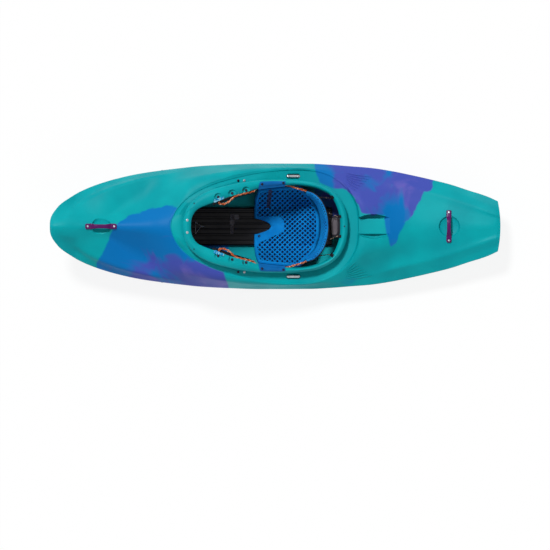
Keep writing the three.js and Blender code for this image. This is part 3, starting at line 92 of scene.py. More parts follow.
# %% Light
SUN_STRENGTH = 2.5
SUN_SOFTNESS = math.radians(10)
SUN_FROM = (-0.4, 0.78, 1.42)
FILL_STRENGTH = 0.25
FILL_SOFTNESS = SUN_SOFTNESS * 3
FILL_FROM = (0.4, -1, 0.9)
WORLD_GREY = 0.3
WHITE = (1, 1, 1, 1)


def add_sun(name, strength, softness, source):
    """A sun lamp that shines from the given direction."""
    lamp = new_object(name, bpy.data.lights.new(name, "SUN"))
    lamp.data.energy = strength
    lamp.data.angle = softness
    lamp.rotation_euler = Vector(source).to_track_quat("Z", "Y").to_euler()


add_sun("key", SUN_STRENGTH, SUN_SOFTNESS, SUN_FROM)
add_sun("fill", FILL_STRENGTH, FILL_SOFTNESS, FILL_FROM)


def link(tree, source, target):
    tree.links.new(source, target)


def node(tree, kind, values=None, **settings):
    made = tree.nodes.new(kind)
    for name, value in settings.items():
        setattr(made, name, value)
    for name, value in (values or {}).items():
        made.inputs[name].default_value = value
    return made


def sum_of(tree, operation, first, second=None, third=None):
    """A Math node. Each operand is a socket or a number."""
    made = node(tree, "ShaderNodeMath", operation=operation)
    for i, operand in enumerate((first, second, third)):
        if operand is None:
            continue
        if isinstance(operand, (int, float)):
            made.inputs[i].default_value = operand
        else:
            link(tree, operand, made.inputs[i])
    return made.outputs[0]


def only_seen_rays(tree):
    """1 for the rays of the camera, of mirrors and of glass, 0 for the rays that carry light."""
    path = node(tree, "ShaderNodeLightPath").outputs
    seen = sum_of(tree, "MAXIMUM", path["Is Camera Ray"], path["Is Glossy Ray"])
    return sum_of(tree, "MAXIMUM", seen, path["Is Transmission Ray"])


def mix_shaders(tree, factor, first, second, output):
    """Mixes two shaders by a factor and leads the result to the output."""
    blend = node(tree, "ShaderNodeMixShader")
    for i, source in enumerate((factor, first.outputs[0], second.outputs[0])):
        link(tree, source, blend.inputs[i])
    link(tree, blend.outputs[0], node(tree, output).inputs["Surface"])


world = bpy.data.worlds.new("studio")
world.use_nodes = True
bpy.context.scene.world = world
tree = world.node_tree
tree.nodes.clear()
light = node(tree, "ShaderNodeBackground", {"Color": WHITE, "Strength": WORLD_GREY})
seen = node(tree, "ShaderNodeBackground", {"Color": WHITE})
mix_shaders(tree, only_seen_rays(tree), light, seen, "ShaderNodeOutputWorld")

# %% Floor
FLOOR_HALF = 30
FLOOR_DROP = 0.0006
FLOOR_WHITE = 0.97
FLOOR_GLOW_SHARE = 0.88

floor_mesh = bpy.data.meshes.new("floor")
floor_signs = ((-1, -1), (1, -1), (1, 1), (-1, 1))
floor_corners = [(x * FLOOR_HALF, y * FLOOR_HALF, 0) for x, y in floor_signs]
floor_mesh.from_pydata(floor_corners, [], [(0, 1, 2, 3)])
floor = new_object("floor", floor_mesh)
floor.location.z = -FLOOR_DROP

floor_look = bpy.data.materials.new("white_floor")
floor_look.use_nodes = True
tree = floor_look.node_tree
tree.nodes.clear()
lit = node(tree, "ShaderNodeBsdfDiffuse", {"Color": (FLOOR_WHITE,) * 3 + (1,)})
glow = node(tree, "ShaderNodeEmission")
share = sum_of(tree, "MULTIPLY", only_seen_rays(tree), FLOOR_GLOW_SHARE)
mix_shaders(tree, share, lit, glow, "ShaderNodeOutputMaterial")
floor.data.materials.append(floor_look)

# %% [markdown]
# ## Lines of the hull
# The shell is drawn the way a boat builder fairs it: a few lines run from bow to stern, and a
# smooth curve joins the chosen points of each. All of them are shares of the length, of the half
# beam and of the height, in the same rows as in the CAD, so both hulls are the same boat.

# %% Size of the boat, in millimetres
LENGTH = 2400
HALF_BEAM = 335
HEIGHT = 450
WALL = 6.5
MM = 0.001

# %% Lines from bow to stern
# keel and ridge: share of the length, share of the height
KEEL = [
    (0, 0.789), (0.01, 0.742), (0.023, 0.671), (0.037, 0.6), (0.057, 0.516), (0.079, 0.433),
    (0.123, 0.304), (0.167, 0.209), (0.212, 0.133), (0.256, 0.08), (0.3, 0.044), (0.356, 0.02),
    (0.422, 0.003), (0.46, 0), (0.62, 0), (0.655, 0.011), (0.7, 0.038), (0.733, 0.062),
    (0.777, 0.12), (0.822, 0.18), (0.91, 0.304), (0.955, 0.373), (1, 0.44),
]
RIDGE = [
    (0, 0.818), (0.006, 0.838), (0.019, 0.847), (0.032, 0.845), (0.057, 0.826), (0.09, 0.81),
    (0.134, 0.802), (0.167, 0.806), (0.201, 0.831), (0.223, 0.849), (0.245, 0.882), (0.267, 0.905),
    (0.289, 0.928), (0.307, 0.938), (0.343, 0.925), (0.391, 0.87), (0.427, 0.805), (0.467, 0.74),
    (0.509, 0.66), (0.56, 0.585), (0.6, 0.56), (0.64, 0.575), (0.67, 0.615), (0.695, 0.645),
    (0.71, 0.637), (0.733, 0.611), (0.755, 0.577), (0.777, 0.551), (0.799, 0.531), (0.83, 0.517),
    (0.89, 0.506), (0.97, 0.496), (0.984, 0.488), (0.994, 0.474), (1, 0.458),
]
# from the widest line up to the ridge: share of the length, of the half beam, of the height
WIDEST = [
    (0, 0, 0.803), (0.0012, 0.104, 0.795), (0.0058, 0.197, 0.775), (0.0145, 0.287, 0.738),
    (0.0233, 0.358, 0.706), (0.0454, 0.469, 0.642), (0.0679, 0.564, 0.577), (0.112, 0.69, 0.49),
    (0.156, 0.779, 0.424), (0.201, 0.845, 0.381), (0.245, 0.89, 0.368), (0.289, 0.928, 0.368),
    (0.334, 0.961, 0.368), (0.4, 0.985, 0.366), (0.467, 1, 0.36), (0.577, 1, 0.348),
    (0.622, 0.985, 0.34), (0.666, 0.961, 0.333), (0.71, 0.937, 0.333), (0.755, 0.89, 0.333),
    (0.799, 0.827, 0.336), (0.844, 0.755, 0.349), (0.888, 0.675, 0.371), (0.932, 0.57, 0.4),
    (0.977, 0.469, 0.429), (0.992, 0.425, 0.441), (1, 0.4, 0.449),
]
LEDGE = [
    (0, 0, 0.808), (0.0058, 0.15, 0.79), (0.0233, 0.27, 0.735), (0.0454, 0.355, 0.675),
    (0.0588, 0.391, 0.64), (0.082, 0.49, 0.61), (0.114, 0.603, 0.564), (0.165, 0.72, 0.511),
    (0.216, 0.812, 0.472), (0.245, 0.851, 0.456), (0.287, 0.9, 0.432), (0.312, 0.925, 0.422),
    (0.4, 0.975, 0.43), (0.5, 0.985, 0.43), (0.6, 0.955, 0.39), (0.7, 0.87, 0.37),
    (0.742, 0.82, 0.372), (0.8, 0.76, 0.37), (0.864, 0.63, 0.395), (0.937, 0.45, 0.43),
    (0.99, 0.31, 0.455), (1, 0.28, 0.453),
]
WING = [
    (0, 0, 0.812), (0.0058, 0.11, 0.805), (0.0233, 0.2, 0.765), (0.0454, 0.28, 0.718),
    (0.0588, 0.33, 0.696), (0.082, 0.43, 0.672), (0.12, 0.57, 0.655), (0.165, 0.685, 0.603),
    (0.2, 0.75, 0.567), (0.245, 0.812, 0.531), (0.287, 0.862, 0.505), (0.312, 0.885, 0.495),
    (0.4, 0.945, 0.52), (0.5, 0.962, 0.49), (0.6, 0.925, 0.435), (0.7, 0.79, 0.41),
    (0.742, 0.72, 0.415), (0.766, 0.669, 0.43), (0.815, 0.591, 0.424), (0.864, 0.496, 0.43),
    (0.937, 0.328, 0.456), (0.99, 0.188, 0.469), (1, 0.17, 0.456),
]
KNEE = [
    (0, 0, 0.815), (0.0058, 0.06, 0.822), (0.0233, 0.12, 0.812), (0.0454, 0.16, 0.8),
    (0.082, 0.17, 0.76), (0.12, 0.17, 0.728), (0.136, 0.19, 0.705), (0.165, 0.31, 0.645),
    (0.2, 0.44, 0.592), (0.215, 0.5, 0.578), (0.245, 0.585, 0.624), (0.278, 0.682, 0.691),
    (0.307, 0.752, 0.747), (0.336, 0.8, 0.776), (0.365, 0.84, 0.77), (0.394, 0.87, 0.735),
    (0.422, 0.9, 0.69), (0.467, 0.925, 0.63), (0.511, 0.935, 0.585), (0.56, 0.93, 0.52),
    (0.6, 0.895, 0.48), (0.65, 0.79, 0.468), (0.7, 0.65, 0.48), (0.742, 0.56, 0.48),
    (0.766, 0.5, 0.47), (0.815, 0.43, 0.46), (0.864, 0.36, 0.458), (0.937, 0.24, 0.475),
    (0.99, 0.14, 0.476), (1, 0.12, 0.457),
]
SHOULDER = [
    (0, 0, 0.817), (0.0058, 0.03, 0.835), (0.0233, 0.06, 0.838), (0.0454, 0.08, 0.825),
    (0.082, 0.085, 0.79), (0.12, 0.085, 0.77), (0.165, 0.15, 0.738), (0.2, 0.21, 0.73),
    (0.245, 0.3, 0.778), (0.278, 0.42, 0.818), (0.307, 0.61, 0.833), (0.336, 0.7, 0.836),
    (0.365, 0.755, 0.82), (0.394, 0.81, 0.785), (0.422, 0.85, 0.735), (0.467, 0.89, 0.672),
    (0.511, 0.9, 0.612), (0.56, 0.885, 0.542), (0.6, 0.83, 0.515), (0.65, 0.66, 0.535),
    (0.68, 0.5, 0.6), (0.695, 0.4, 0.638), (0.71, 0.36, 0.632), (0.733, 0.33, 0.6),
    (0.766, 0.3, 0.54), (0.815, 0.24, 0.498), (0.864, 0.19, 0.492), (0.937, 0.12, 0.49),
    (0.99, 0.07, 0.479), (1, 0.06, 0.458),
]
# chine and flat bottom: share of the length, share of the widest line's reach
CHINE = [
    (0, 0.3), (0.05, 0.45), (0.15, 0.58), (0.3, 0.72), (0.45, 0.79), (0.65, 0.79), (0.8, 0.72),
    (0.93, 0.66), (1, 0.6),
]
FLAT = [
    (0, 0.1), (0.1, 0.25), (0.3, 0.5), (0.45, 0.62), (0.65, 0.62), (0.8, 0.5), (1, 0.4),
]

# %% Lines of the cockpit
# edge of the gutter: share of the length, share of the half beam
GUTTER_EDGE = [
    (0.269, 0), (0.271, 0.1), (0.28, 0.24), (0.294, 0.37), (0.315, 0.5), (0.343, 0.61),
    (0.38, 0.71), (0.436, 0.81), (0.491, 0.875), (0.549, 0.9), (0.589, 0.875), (0.618, 0.815),
    (0.646, 0.69), (0.668, 0.52), (0.681, 0.33), (0.685, 0.15), (0.686, 0),
]
# floor of the gutter: share of the length, share of the height
GUTTER_FLOOR = [
    (0.269, 0.9), (0.288, 0.9), (0.307, 0.876), (0.343, 0.858), (0.367, 0.84), (0.391, 0.81),
    (0.427, 0.74), (0.445, 0.71), (0.467, 0.677), (0.496, 0.613), (0.529, 0.553), (0.56, 0.5),
    (0.58, 0.486), (0.598, 0.482), (0.631, 0.488), (0.657, 0.508), (0.688, 0.54),
]
# rim: share of the length and of the half beam, first of its lip, then of the opening
RIM = [
    (0.295, 0, 0.3138, 0), (0.2967, 0.12, 0.315, 0.11), (0.3025, 0.254, 0.3192, 0.188),
    (0.3146, 0.382, 0.3283, 0.269), (0.3354, 0.501, 0.3471, 0.334), (0.3654, 0.597, 0.375, 0.406),
    (0.3958, 0.654, 0.4033, 0.478), (0.4271, 0.701, 0.4313, 0.534), (0.4667, 0.734, 0.4633, 0.597),
    (0.5, 0.743, 0.4979, 0.63), (0.5333, 0.737, 0.5292, 0.651), (0.5625, 0.722, 0.5583, 0.648),
    (0.5925, 0.687, 0.5854, 0.615), (0.6125, 0.63, 0.6042, 0.567), (0.6296, 0.555, 0.6208, 0.501),
    (0.6458, 0.433, 0.6325, 0.382), (0.6563, 0.275, 0.64, 0.245), (0.6608, 0.134, 0.6438, 0.125),
    (0.6621, 0, 0.6446, 0),
]
# height of the lip: share of the length, share of the height
LIP_HEIGHT = [
    (0.294, 0.942), (0.307, 0.94), (0.343, 0.927), (0.367, 0.911), (0.391, 0.876), (0.427, 0.822),
    (0.445, 0.789), (0.467, 0.744), (0.496, 0.689), (0.529, 0.64), (0.564, 0.602), (0.589, 0.589),
    (0.615, 0.584), (0.663, 0.586),
]

# %% [markdown]
# A monotone line never overshoots between two rows, which keeps a keel from dipping. A centripetal
# spline goes round a loop, such as the cockpit rim.

# %% Curves


def along(share):
    return (share - 0.5) * LENGTH


def share_at(x):
    return x / LENGTH + 0.5


def past(value, start, reach):
    """How far a value has come past a start: 0 up to it, 1 from the reach on."""
    return np.clip((value - start) / reach, 0, 1)


def short_of(value, end, reach):
    """How far a value falls short of an end: 0 beyond it, 1 from the reach on."""
    return np.clip((end - value) / reach, 0, 1)


def smooth_line(rows, column):
    """A curve through one column of the rows that never overshoots."""
    xs = np.array([row[0] for row in rows], float)
    ys = np.array([row[column] for row in rows], float)
    steps = np.diff(xs)
    slopes = np.diff(ys) / steps
    tangents = np.zeros(len(xs))
    tangents[0], tangents[-1] = slopes[0], slopes[-1]
    for i in range(1, len(xs) - 1):
        if slopes[i - 1] * slopes[i] > 0:
            first = 2 * steps[i] + steps[i - 1]
            second = steps[i] + 2 * steps[i - 1]
            tangents[i] = (first + second) / (first / slopes[i - 1] + second / slopes[i])

    def value(at):
        at = np.clip(np.asarray(at, float), xs[0], xs[-1])
        i = np.clip(np.searchsorted(xs, at, side="right") - 1, 0, len(xs) - 2)
        h = steps[i]
        t = (at - xs[i]) / h
        return (
            (2 * t**3 - 3 * t**2 + 1) * ys[i]
            + (t**3 - 2 * t**2 + t) * h * tangents[i]
            + (3 * t**2 - 2 * t**3) * ys[i + 1]
            + (t**3 - t**2) * h * tangents[i + 1]
        )

    return value


class Spline:
    """A centripetal spline through points, open or closed."""

    def __init__(self, points, closed=False):
        self.points = np.array(points, float)
        self.closed = closed

    def at(self, t):
        points = self.points
        count = len(points)
        place = (count if self.closed else count - 1) * t
        i = int(math.floor(place))
        weight = place - i
        if self.closed:
            i %= count
            p0, p1, p2, p3 = (points[(i + k) % count] for k in (-1, 0, 1, 2))
        else:
            if i >= count - 1:
                i, weight = count - 2, 1
            p1, p2 = points[i], points[i + 1]
            p0 = points[i - 1] if i > 0 else 2 * points[0] - points[1]
            p3 = points[i + 2] if i + 2 < count else 2 * points[-1] - points[-2]
        gaps = ((p0, p1), (p1, p2), (p2, p3))
        d0, d1, d2 = (max(np.linalg.norm(b - a) ** 0.5, 1e-4) for a, b in gaps)
        t1 = ((p1 - p0) / d0 - (p2 - p0) / (d0 + d1) + (p2 - p1) / d1) * d1
        t2 = ((p2 - p1) / d1 - (p3 - p1) / (d1 + d2) + (p3 - p2) / d2) * d1
        w = weight
        return p1 + t1 * w + (3 * (p2 - p1) - 2 * t1 - t2) * w**2 + (2 * (p1 - p2) + t1 + t2) * w**3

    def many(self, count):
        last = count if self.closed else count - 1
        return np.array([self.at(i / last) for i in range(count)])


def mirrored(rows):
    """Rows of one side, then the same rows of the other side backwards."""
    return rows + [(x, -y) for x, y in rows[1:-1][::-1]]


lines = {
    "keel": smooth_line(KEEL, 1),
    "ridge": smooth_line(RIDGE, 1),
    "chine": smooth_line(CHINE, 1),
    "flat": smooth_line(FLAT, 1),
    "gutter_floor": smooth_line(GUTTER_FLOOR, 1),
    "lip": smooth_line(LIP_HEIGHT, 1),
}
SIDE_LINES = {"widest": WIDEST, "ledge": LEDGE, "wing": WING, "knee": KNEE, "shoulder": SHOULDER}
for name, rows in SIDE_LINES.items():
    lines[name + "_y"] = smooth_line(rows, 1)
    lines[name + "_z"] = smooth_line(rows, 2)


def keel_height_at(x):
    return lines["keel"](share_at(x)) * HEIGHT


def gutter_floor_at(x):
    return lines["gutter_floor"](share_at(x)) * HEIGHT


def lip_height_at(x):
    return lines["lip"](share_at(x)) * HEIGHT


# %% [markdown]
# A cross-section is nine corners from the keel to the ridge. Each corner is rounded by a short
# curve, and each straight run is divided, so that the loft has even faces that take paint well.

# %% Cross-sections
CHINE_LIFT = 0.15
CORNER_ROUNDS = (0, 60, 45, 7, 9, 11, 34, 36, 150)
BOW_ROUNDS = (0, 60, 45, 9, 22, 20, 60, 12, 150)
BOW_ROUND_TO, BOW_ROUND_FADE = 0.24, 0.08
STERN_CREASE = 5
STERN_CREASE_FROM, STERN_CREASE_FADE, STERN_CREASE_LIFT = 0.7, 0.06, 0.02
WIDEST_CORNER, STERN_SHARP_FROM, STERN_SHARPER = 3, 0.85, 0.8
CAVITY_ROUND = 20
TINY = 1e-6
CORNER_POINTS = 7
RUN_PARTS = (3, 3, 3, 1, 1, 3, 3, 4)
CORNER_REACH = 0.46
STERN_BOW_OUT = 14
STERN_FROM = 0.95


def section_corners(share):
    """Nine corners of half a section: across, up."""
    keel = lines["keel"](share) * HEIGHT
    widest_y = lines["widest_y"](share) * HALF_BEAM
    widest_z = lines["widest_z"](share) * HEIGHT
    corners = [
        (0, keel),
        (lines["flat"](share) * widest_y, keel),
        (lines["chine"](share) * widest_y, keel + (widest_z - keel) * CHINE_LIFT),
        (widest_y, widest_z),
    ]
    for name in ("ledge", "wing", "knee", "shoulder"):
        corners.append((lines[name + "_y"](share) * HALF_BEAM, lines[name + "_z"](share) * HEIGHT))
    corners.append((0, lines["ridge"](share) * HEIGHT))
    return np.array(corners, float)


def half_section(share, inside=False):
    """The rounded outline of half a section. The cavity's own has a blunter edge."""
    corners = section_corners(share)
    at_stern = past(share, STERN_CREASE_FROM, STERN_CREASE_FADE)
    corners[STERN_CREASE, 1] += at_stern * STERN_CREASE_LIFT * HEIGHT
    at_bow = short_of(share, BOW_ROUND_TO, BOW_ROUND_FADE)
    rounds = np.array(CORNER_ROUNDS) * (1 - at_bow) + np.array(BOW_ROUNDS) * at_bow
    rounds[WIDEST_CORNER] *= 1 - STERN_SHARPER * past(share, STERN_SHARP_FROM, 1 - STERN_SHARP_FROM)
    if inside:
        rounds[WIDEST_CORNER : WIDEST_CORNER + 2] = CAVITY_ROUND
    # the ridge is raised first, so that its rounded top keeps its height
    run = np.linalg.norm(corners[-1] - corners[-2])
    part = min(rounds[-1], (1 - CORNER_REACH) * run) / max(run, TINY) / 2
    corners[-1, 1] = (corners[-1, 1] - part * corners[-2, 1]) / (1 - part)
    curves = []
    for i, corner in enumerate(corners):
        if rounds[i] == 0:
            curves.append([corner])
            continue
        # the last corner is the ridge, whose other side is the mirror of this one
        after = corners[i + 1] if i + 1 < len(corners) else corners[i - 1] * (-1, 1)
        back, ahead = corners[i - 1] - corner, after - corner
        back_length, ahead_length = np.linalg.norm(back), np.linalg.norm(ahead)
        most = CORNER_REACH if i + 1 < len(corners) else 1 - CORNER_REACH
        reach = min(rounds[i], most * back_length, most * ahead_length)
        start = corner + back / max(back_length, TINY) * reach
        end = corner + ahead / max(ahead_length, TINY) * reach
        last = 1 if i + 1 < len(corners) else 0.5
        ts = np.linspace(0, last, CORNER_POINTS)[:, None]
        curves.append(list((1 - ts) ** 2 * start + 2 * ts * (1 - ts) * corner + ts**2 * end))
    outline = list(curves[0])
    for i in range(1, len(curves)):
        start, end = outline[-1], curves[i][0]
        for k in range(1, RUN_PARTS[i - 1]):
            outline.append(start + (end - start) * k / RUN_PARTS[i - 1])
        outline.extend(curves[i])
    return np.array(outline)


def section_ring(share, inset=0):
    """A whole section as a ring of 3-D points, moved inward by the inset."""
    half = half_section(share, inset > 0)
    ring = np.vstack([half, [(-y, z) for y, z in half[1:-1][::-1]]])
    if inset:
        ahead = np.roll(ring, -1, axis=0) - np.roll(ring, 1, axis=0)
        normal = np.column_stack([-ahead[:, 1], ahead[:, 0]])
        normal /= np.maximum(np.linalg.norm(normal, axis=1), 1e-9)[:, None]
        ring = ring + normal * inset
    # the stern's end is a shallow arc in plan
    pull = max(share - STERN_FROM, 0) / (1 - STERN_FROM) * STERN_BOW_OUT
    x = along(share) - pull * (ring[:, 0] / np.abs(ring[:, 0]).max()) ** 2
    return np.column_stack([x, ring])


def deck_height(x, y):
    """Height of the deck at a place on it, above the widest line."""
    half = half_section(share_at(x))
    widest = int(np.argmax(half[:, 0]))
    deck = half[widest:][::-1]
    return float(np.interp(abs(y), deck[:, 0], deck[:, 1]))


# %% [markdown]
# ## Small helpers for making meshes
# A mesh here is rings of points joined into a skin, turned and joined by booleans where one
# moulding is cut into another.

# %% Mesh helpers


SIDES = ((1, "right"), (-1, "left"))


def full_turn(count):
    """The angles of a full turn, in even steps."""
    return np.linspace(0, 2 * math.pi, count, endpoint=False)


def circle(radius, height, count, x=0, y=0):
    """A level ring of points. The radius is one number, or one for each point."""
    radii = np.broadcast_to(radius, count)
    turns = zip(full_turn(count), radii)
    return [(x + r * math.cos(a), y + r * math.sin(a), height) for a, r in turns]


def square_reach(count, power):
    """How far a square with round corners reaches at each angle, for a half width of 1."""
    turns = full_turn(count)
    return 1 / (abs(np.cos(turns)) ** power + abs(np.sin(turns)) ** power) ** (1 / power)


def mesh_of(name, points, faces):
    """A mesh from points in millimetres, with its faces turned outward."""
    mesh = bpy.data.meshes.new(name)
    mesh.from_pydata([tuple(p) for p in np.asarray(points, float) * MM], [], faces)
    work = bmesh.new()
    work.from_mesh(mesh)
    bmesh.ops.recalc_face_normals(work, faces=work.faces)
    work.to_mesh(mesh)
    work.free()
    return mesh


def skin(name, rings, closed=False, caps=True):
    """Joins rings of equal count into one skin."""
    rings = [np.asarray(ring, float) for ring in rings]
    count = len(rings[0])
    last = len(rings) if closed else len(rings) - 1
    faces = []
    for r in range(last):
        a, b = r * count, ((r + 1) % len(rings)) * count
        for i in range(count):
            j = (i + 1) % count
            faces.append((a + i, a + j, b + j, b + i))
    if not closed and caps:
        faces.append(tuple(range(count))[::-1])
        faces.append(tuple((len(rings) - 1) * count + i for i in range(count)))
    return new_object(name, mesh_of(name, np.vstack(rings), faces))


def settle(made):
    """Applies the modifiers of an object to its mesh."""
    bpy.context.view_layer.update()
    graph = bpy.context.evaluated_depsgraph_get()
    mesh = bpy.data.meshes.new_from_object(made.evaluated_get(graph))
    old = made.data
    made.modifiers.clear()
    made.data = mesh
    mesh.name = old.name
    bpy.data.meshes.remove(old)
    return made


def join(made, others):
    """Puts other objects' meshes into this one, as they are."""
    work = bmesh.new()
    work.from_mesh(made.data)
    for other in others:
        work.from_mesh(other.data)
    work.to_mesh(made.data)
    work.free()
    drop(others)
    return made


def drop(objects):
    for gone in objects:
        mesh = gone.data
        bpy.data.objects.remove(gone)
        bpy.data.meshes.remove(mesh)


def carve(made, tools, operation="DIFFERENCE"):
    """Cuts tools out of an object, or joins them to it."""
    for tool in tools:
        change = made.modifiers.new("carve", "BOOLEAN")
        change.operation = operation
        change.solver = "MANIFOLD"
        change.object = tool
    settle(made)
    drop(tools)
    return made


def keep_largest(made):
    """Deletes the loose slivers that a boolean can leave beside the body."""
    work = bmesh.new()
    work.from_mesh(made.data)
    unseen, best = set(work.verts), set()
    while unseen:
        edge_of_part = [unseen.pop()]
        part = set(edge_of_part)
        while edge_of_part:
            corner = edge_of_part.pop()
            fresh = {edge.other_vert(corner) for edge in corner.link_edges} & unseen
            unseen -= fresh
            part |= fresh
            edge_of_part.extend(fresh)
        best = max(best, part, key=len)
    loose = [corner for corner in work.verts if corner not in best]
    bmesh.ops.delete(work, geom=loose, context="VERTS")
    work.to_mesh(made.data)
    work.free()
    return len(loose)


def smooth(made, angle=35):
    """Shades an object smooth, with crisp edges above an angle in degrees."""
    made.data.shade_smooth()
    made.data.set_sharp_from_angle(angle=math.radians(angle))
    weight = made.modifiers.new("even_shading", "WEIGHTED_NORMAL")
    weight.keep_sharp = True
    return settle(made)


def soften(made, width, segments=2, angle=35):
    """Rounds the edges of an object."""
    bevel = made.modifiers.new("round_edges", "BEVEL")
    bevel.width = width * MM
    bevel.segments = segments
    bevel.limit_method = "ANGLE"
    bevel.angle_limit = math.radians(angle)
    bevel.use_clamp_overlap = True
    return settle(made)


def dress(made, look, node=None, body="boat"):
    """Gives a piece its material and its body, and hides the CAD node that it stands for."""
    made.data.materials.clear()
    made.data.materials.append(look)
    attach(made, body)
    if node:
        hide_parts(*([node] if isinstance(node, str) else node))
    return made


# %% [markdown]
# ## Finishes
# The effects that several finishes share are node groups: the faint grain of a mould, scuffs from
# use, and a weave. Each group only puts out values that change over the surface, and the Principled
# shader stays in the material.

# %% Node helpers


def ramped(tree, value, low, high, to_low=0, to_high=1):
    """A value eased from one range to another."""
    made = node(tree, "ShaderNodeMapRange", interpolation_type="SMOOTHSTEP")
    link(tree, value, made.inputs["Value"])
    names = ("From Min", "From Max", "To Min", "To Max")
    for name, number in zip(names, (low, high, to_low, to_high)):
        made.inputs[name].default_value = number
    return made.outputs["Result"]


def mixed(tree, factor, first, second):
    """Two colours mixed. Each is a socket or a plain colour."""
    made = node(tree, "ShaderNodeMix", data_type="RGBA")
    if isinstance(factor, (int, float)):
        made.inputs[0].default_value = factor
    else:
        link(tree, factor, made.inputs[0])
    for socket, colour in ((6, first), (7, second)):
        if isinstance(colour, tuple):
            made.inputs[socket].default_value = colour
        else:
            link(tree, colour, made.inputs[socket])
    return made.outputs[2]


def srgb(red, green, blue):
    """A colour as seen on a screen, 0 to 255, as the linear numbers that a shader wants."""
    parts = []
    for part in (red, green, blue):
        part /= 255
        parts.append(part / 12.92 if part <= 0.04045 else ((part + 0.055) / 1.055) ** 2.4)
    return (*parts, 1)


def darker(colour, share):
    return tuple(part * share for part in colour[:3]) + (1,)


def object_place(tree):
    """The place on the object, in metres, for textures that must not slide."""
    return node(tree, "ShaderNodeTexCoord").outputs["Object"]


def shader_group(name, inputs, outputs):
    """A new node group of plain numbers: its tree, its input node and its output node."""
    tree = bpy.data.node_groups.new(name, "ShaderNodeTree")
    for label, value in inputs:
        socket = tree.interface.new_socket(label, in_out="INPUT", socket_type="NodeSocketFloat")
        socket.default_value = value
    for label in outputs:
        tree.interface.new_socket(label, in_out="OUTPUT", socket_type="NodeSocketFloat")
    return tree, tree.nodes.new("NodeGroupInput"), tree.nodes.new("NodeGroupOutput")


def place_group(tree, group, **values):
    made = node(tree, "ShaderNodeGroup", node_tree=group)
    for name, value in values.items():
        made.inputs[name].default_value = value
    return made


# %% [markdown]
# Mould grain is two layers of noise: a slow wave, because a big moulding is never quite flat, and a
# fine pebble that breaks up the highlight. Scuffs are long thin streaks, where a boat is dragged.

# %% Effects that finishes share


PEBBLE_SHARE = 0.12


def make_grain_group():
    sizes = [("Wave", 9), ("Pebble", 420)]
    tree, given, result = shader_group("mould_grain", sizes, ["Height", "Shade"])
    place = object_place(tree)
    wave = node(tree, "ShaderNodeTexNoise", {"Detail": 2})
    pebble = node(tree, "ShaderNodeTexNoise", {"Detail": 3, "Roughness": 0.6})
    for texture, name in ((wave, "Wave"), (pebble, "Pebble")):
        link(tree, place, texture.inputs["Vector"])
        link(tree, given.outputs[name], texture.inputs["Scale"])
    height = sum_of(tree, "MULTIPLY_ADD", pebble.outputs["Fac"], PEBBLE_SHARE, wave.outputs["Fac"])
    link(tree, height, result.inputs["Height"])
    link(tree, ramped(tree, wave.outputs["Fac"], 0.3, 0.7), result.inputs["Shade"])
    return tree


SCUFF_STRETCH, SCUFF_TURN = 0.16, 0.2


def make_scuff_group():
    tree, given, result = shader_group("scuffs", [("Scale", 30), ("Amount", 0.5)], ["Mask"])
    place = object_place(tree)
    lay = {"Scale": (SCUFF_STRETCH, 1, 1), "Rotation": (0, 0, SCUFF_TURN)}
    stretch = node(tree, "ShaderNodeMapping", lay)
    link(tree, place, stretch.inputs["Vector"])
    streak = node(tree, "ShaderNodeTexNoise", {"Detail": 5, "Roughness": 0.7})
    link(tree, stretch.outputs[0], streak.inputs["Vector"])
    link(tree, given.outputs["Scale"], streak.inputs["Scale"])
    area = node(tree, "ShaderNodeTexNoise", {"Scale": 2.5, "Detail": 2})
    link(tree, place, area.inputs["Vector"])
    thin = ramped(tree, streak.outputs["Fac"], 0.6, 0.72)
    where = ramped(tree, area.outputs["Fac"], 0.48, 0.66)
    both = sum_of(tree, "MULTIPLY", thin, where)
    link(tree, sum_of(tree, "MULTIPLY", both, given.outputs["Amount"]), result.inputs["Mask"])
    return tree


def make_weave_group():
    counts = [("Across", 900), ("Along", 900)]
    tree, given, result = shader_group("weave", counts, ["Height", "Shade"])
    parts = node(tree, "ShaderNodeSeparateXYZ")
    link(tree, object_place(tree), parts.inputs[0])
    warp_turn = sum_of(tree, "MULTIPLY", parts.outputs["X"], given.outputs["Along"])
    warp = sum_of(tree, "SINE", warp_turn)
    weft_way = sum_of(tree, "ADD", parts.outputs["Y"], parts.outputs["Z"])
    weft = sum_of(tree, "SINE", sum_of(tree, "MULTIPLY", weft_way, given.outputs["Across"]))
    both = sum_of(tree, "MULTIPLY", warp, weft)
    height = ramped(tree, both, -1, 1)
    link(tree, height, result.inputs["Height"])
    link(tree, ramped(tree, both, -0.9, 0.4), result.inputs["Shade"])
    return tree


grain_group = make_grain_group()
scuff_group = make_scuff_group()
weave_group = make_weave_group()


def new_look(name, sheen):
    """A material with a Principled shader, ready for its values."""
    look = bpy.data.materials.new(name)
    look.use_nodes = True
    look.node_tree.nodes.clear()
    shader = look.node_tree.nodes.new("ShaderNodeBsdfPrincipled")
    shader.inputs["Specular IOR Level"].default_value = sheen
    out = look.node_tree.nodes.new("ShaderNodeOutputMaterial")
    link(look.node_tree, shader.outputs[0], out.inputs["Surface"])
    return look, look.node_tree, shader


def bump(tree, shader, height, distance, strength=1):
    made = node(tree, "ShaderNodeBump", {"Strength": strength, "Distance": distance})
    link(tree, height, made.inputs["Height"])
    link(tree, made.outputs["Normal"], shader.inputs["Normal"])


SHEEN, STEEL_SHEEN = 0.15, 0.5
PLASTIC_RELIEF, STEEL_RELIEF = 0.0004, 0.00005
PLASTIC_SCUFF_SCALE = 38
ROUGH_SPREAD, SCUFF_ROUGHER = 0.05, 0.25


